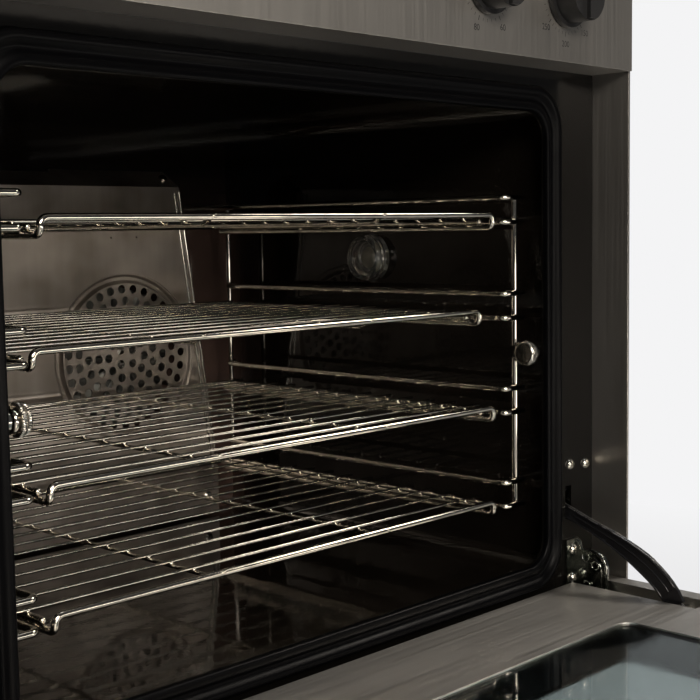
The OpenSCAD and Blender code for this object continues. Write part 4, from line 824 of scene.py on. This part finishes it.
# %% [markdown]
# ## Dial marks
# Ticks and plain numbers are printed on the control panel round the two knobs: a thermostat up to 300
# degrees and a timer up to 120 minutes. They could be an image on the panel, which would blur up
# close. Here the ticks are thin slabs on rays from the knob's centre and the numbers are text turned
# into meshes, less than a tenth of a millimetre thick, because their edges stay sharp at any size.

# %% Dial helpers
PANEL_Y, DIAL_Z = -36.0, 534.0
TICKS_PER_NUMBER = 5
NUMBER_RADIUS, NUMBER_SIZE = 33.5, 0.0062
# radius, width and length
LONG_TICK, SHORT_TICK = (26.5, 0.5, 3.4), (26.0, 0.3, 2.2)


def printed_tick(x, z, angle, width, length):
    """A thin printed bar: its four corners are turned by the angle about its middle, and stand just in
    front of the panel's face and just behind it."""
    c, s = math.cos(angle), math.sin(angle)
    corners = np.array([(-length, -width), (length, -width), (length, width), (-length, width)]) / 2
    px = x + corners[:, 0] * c - corners[:, 1] * s
    pz = z + corners[:, 0] * s + corners[:, 1] * c
    verts = np.concatenate([at(px, PANEL_Y - 0.06, pz), at(px, PANEL_Y + 0.02, pz)])
    faces = np.array([(0, 1, 2, 3), (7, 6, 5, 4), (0, 4, 5, 1), (1, 5, 6, 2), (2, 6, 7, 3), (3, 7, 4, 0)])
    return verts, faces


def number_mesh(text, x, z):
    """A number as a flat solid, from the built-in font."""
    curve = bpy.data.curves.new("number", "FONT")
    curve.body, curve.size, curve.extrude = text, NUMBER_SIZE, 0.00003
    curve.align_x, curve.align_y = "CENTER", "CENTER"
    curve.resolution_u = 3
    obj = bpy.data.objects.new("number", curve)
    bpy.context.scene.collection.objects.link(obj)
    mesh = bpy.data.meshes.new_from_object(obj.evaluated_get(bpy.context.evaluated_depsgraph_get()))
    upright = Matrix.Rotation(math.pi / 2, 4, "X")
    mesh.transform(Matrix.Translation(Vector(at(x, PANEL_Y - 0.03, z))) @ upright)
    bpy.data.objects.remove(obj)
    return mesh


def dial(name, x, labels, sweep_deg):
    """Ticks and labels clockwise from the top: each angle is 90 degrees less its share of the sweep."""
    parts = []
    count = (len(labels) - 1) * TICKS_PER_NUMBER
    for k in range(count + 1):
        angle = math.radians(90 - sweep_deg * k / count)
        r, width, length = LONG_TICK if k % TICKS_PER_NUMBER == 0 else SHORT_TICK
        tick_x, tick_z = x + r * math.cos(angle), DIAL_Z + r * math.sin(angle)
        parts.append(printed_tick(tick_x, tick_z, angle, width, length))
    verts, faces = merge(parts)
    add_piece(f"{name}_ticks", verts, faces, ink, "case")
    for k, label in enumerate(labels):
        angle = math.radians(90 - sweep_deg * k / (len(labels) - 1))
        number_x = x + NUMBER_RADIUS * math.cos(angle)
        mesh = number_mesh(label, number_x, DIAL_Z + NUMBER_RADIUS * math.sin(angle))
        mesh.materials.clear()
        mesh.materials.append(ink)
        obj = bpy.data.objects.new(f"{name}_number_{k}", mesh)
        bpy.context.scene.collection.objects.link(obj)
        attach(obj, "case")
    return count + 1


print("the numbers are", round(1000 * NUMBER_SIZE, 1), "mm high")

# %% Dials
thermostat_ticks = dial("thermostat", 210.0, ["0", "50", "100", "150", "200", "250", "300"], 270)
timer_ticks = dial("timer", 120.0, ["0", "20", "40", "60", "80", "100", "120"], 300)
print("ticks:", thermostat_ticks, "round the thermostat and", timer_ticks, "round the timer")

# %% [markdown]
# ## Studio floor
# The oven stands on a pale floor in front of a pale backdrop, and none of it belongs to the object. A
# strong light on a white wall would give the same picture, but would also light the oven. So floor and
# backdrop are grey to the light, and pale only where they are seen straight on or through glass. Near
# the oven the floor keeps its shadow.

# %% Floor
MIRRORED_SHARE = 0.02
PALE = "#f4f4f5"
FLOOR_HALF = 2.6


def seen_share(tree):
    """How much of the pale backdrop a ray sees: all of it straight on or through glass, and only a
    little in a mirror, because the steel of the oven mirrors dark surroundings."""
    ray = add(tree, "LightPath")
    clear = add(tree, "Math", {"operation": "MAXIMUM"}, _0=(ray, "Is Camera Ray"),
                _1=(ray, "Is Transmission Ray"))
    mirrored = add(tree, "Math", {"operation": "MULTIPLY_ADD", "use_clamp": True},
                   _0=(ray, "Is Glossy Ray"), _1=MIRRORED_SHARE, _2=(clear, "Value"))
    return mirrored, "Value"


floor_mesh = bpy.data.meshes.new("floor")
floor_corners = [(sx * FLOOR_HALF, sy * FLOOR_HALF, 0) for sx, sy in ((-1, -1), (1, -1), (1, 1), (-1, 1))]
floor_mesh.from_pydata(floor_corners, [], [(0, 1, 2, 3)])
floor = bpy.data.objects.new("floor", floor_mesh)
bpy.context.scene.collection.objects.link(floor)
paper, tree, shader, coords = start("pale_studio_paper")
mottle = add(tree, "TexNoise", Vector=coords, Scale=per_mm(400.0), Detail=3.0)
tone = add(tree, "ValToRGB", stops=[(0.3, linear("#838384")), (0.7, linear("#8e8e8f"))],
           Fac=(mottle, "Fac"))
feed(tree, shader, Base_Color=(tone, "Color"), Roughness=0.9)
away = add(tree, "VectorMath", {"operation": "LENGTH"}, _0=coords)
glow = add(tree, "ValToRGB", stops=[(0.45, 0.8), (0.95, 1.0)], Fac=(away, "Value"))
share = add(tree, "Math", {"operation": "MULTIPLY"}, _0=seen_share(tree), _1=(glow, "Color"))
white = add(tree, "Emission", Color=linear(PALE), Strength=1.0)
both = add(tree, "MixShader", _0=(share, "Value"), _1=(shader, "BSDF"), _2=(white, "Emission"))
feed(tree, tree.nodes["Material Output"], Surface=(both, "Shader"))
floor_mesh.materials.append(paper)
print("floor:", 2 * FLOOR_HALF, "m wide")

# %% [markdown]
# ## Studio lights
# A soft key light stands above and left of the camera, two low ones send the light that the baffle
# mirrors, and weak fills open the shadows of the sides and the back. One big light would be simpler,
# but leaves the cavity black. The powers were found by rendering each light alone and fitting their
# sum to the tones of the picture, because light simply adds up.


# %% Lights
def area_light(name, place, aim, size, watts, colour="#ffffff"):
    """A rectangular light at a place, turned so that its face looks at the aim."""
    data = bpy.data.lights.new(name, "AREA")
    data.shape = "RECTANGLE"
    data.size, data.size_y = size
    data.energy = watts
    data.color = linear(colour)[:3]
    obj = bpy.data.objects.new(name, data)
    bpy.context.scene.collection.objects.link(obj)
    direction = Vector(aim) - Vector(place)
    obj.matrix_world = Matrix.Translation(place) @ direction.to_track_quat("-Z", "Y").to_matrix().to_4x4()


WARM = "#fff6ea"
area_light("key", (-0.75, -1.9, 1.25), (0.0, 0.1, 0.3), (1.2, 0.6), 46, WARM)
area_light("low_right", (0.65, -1.25, 0.06), (-0.1, 0.32, 0.15), (0.8, 0.12), 2.2, WARM)
area_light("low_left", (-0.2, -1.6, 0.2), (-0.1, 0.32, 0.15), (0.8, 0.2), 4.2, WARM)
area_light("side", (1.9, -0.7, 1.9), (0.0, 0.0, 0.3), (0.8, 0.5), 20, WARM)
area_light("top", (0.4, 0.2, 2.4), (0.0, -0.2, 0.3), (2.0, 1.4), 26)
area_light("rear_right", (1.7, 2.0, 1.5), (0.0, 0.2, 0.3), (1.4, 1.1), 42)
area_light("rear_left", (-2.0, 1.3, 1.3), (0.0, 0.2, 0.3), (1.4, 1.1), 34)
print(len(bpy.data.lights), "area lights")

# %% [markdown]
# ## World
# All round the studio is a pale surround. A world could be one plain colour, but then it either lights
# the oven from every side or looks dark. Two backgrounds are mixed by the kind of ray, as on the
# floor: the pale one is what is seen, and a faint one is all the light it gives.

# %% World
WORLD_LIGHT = 0.06
world = bpy.data.worlds.new("studio")
bpy.context.scene.world = world
world.use_nodes = True
tree = world.node_tree
tree.nodes.clear()
seen = add(tree, "Background", Color=linear(PALE), Strength=1.0)
lit = add(tree, "Background", Color=linear("#e9ebee"), Strength=WORLD_LIGHT)
mixed = add(tree, "MixShader", _0=seen_share(tree), _1=(lit, "Background"), _2=(seen, "Background"))
add(tree, "OutputWorld", Surface=(mixed, "Shader"))
print("world light:", WORLD_LIGHT)

# %% [markdown]
# ## Camera
# The camera stands in front and to the left, a little above the shelves, with a 66 mm lens. It could
# be placed by eye. Its place, turn and lens were worked out from 77 measurements of straight wires,
# posts and circles instead, because then the edges of the render fall where those of the real oven do.

# %% Camera
YAW, PITCH, ROLL = math.radians(45.517), math.radians(5.34), math.radians(-0.908)
EYE_MM = (-575.4, -585.1, 370.4)
forward = np.array([math.sin(YAW) * math.cos(PITCH), math.cos(YAW) * math.cos(PITCH), -math.sin(PITCH)])
level_right = np.array([math.cos(YAW), -math.sin(YAW), 0.0])
level_up = np.cross(level_right, forward)
right = level_right * math.cos(ROLL) + level_up * math.sin(ROLL)
upward = level_up * math.cos(ROLL) - level_right * math.sin(ROLL)
lens = bpy.data.cameras.new("camera")
lens.sensor_width, lens.lens = 36.0, 66.4
lens.clip_start = 0.02
camera = bpy.data.objects.new("camera", lens)
bpy.context.scene.collection.objects.link(camera)
turn = Matrix(np.stack([right, upward, -forward], 1).tolist()).to_4x4()
camera.matrix_world = Matrix.Translation(at(*EYE_MM).tolist()) @ turn
bpy.context.scene.camera = camera
bpy.context.scene.view_settings.view_transform = "Standard"
print("camera at", [round(v, 3) for v in camera.location])
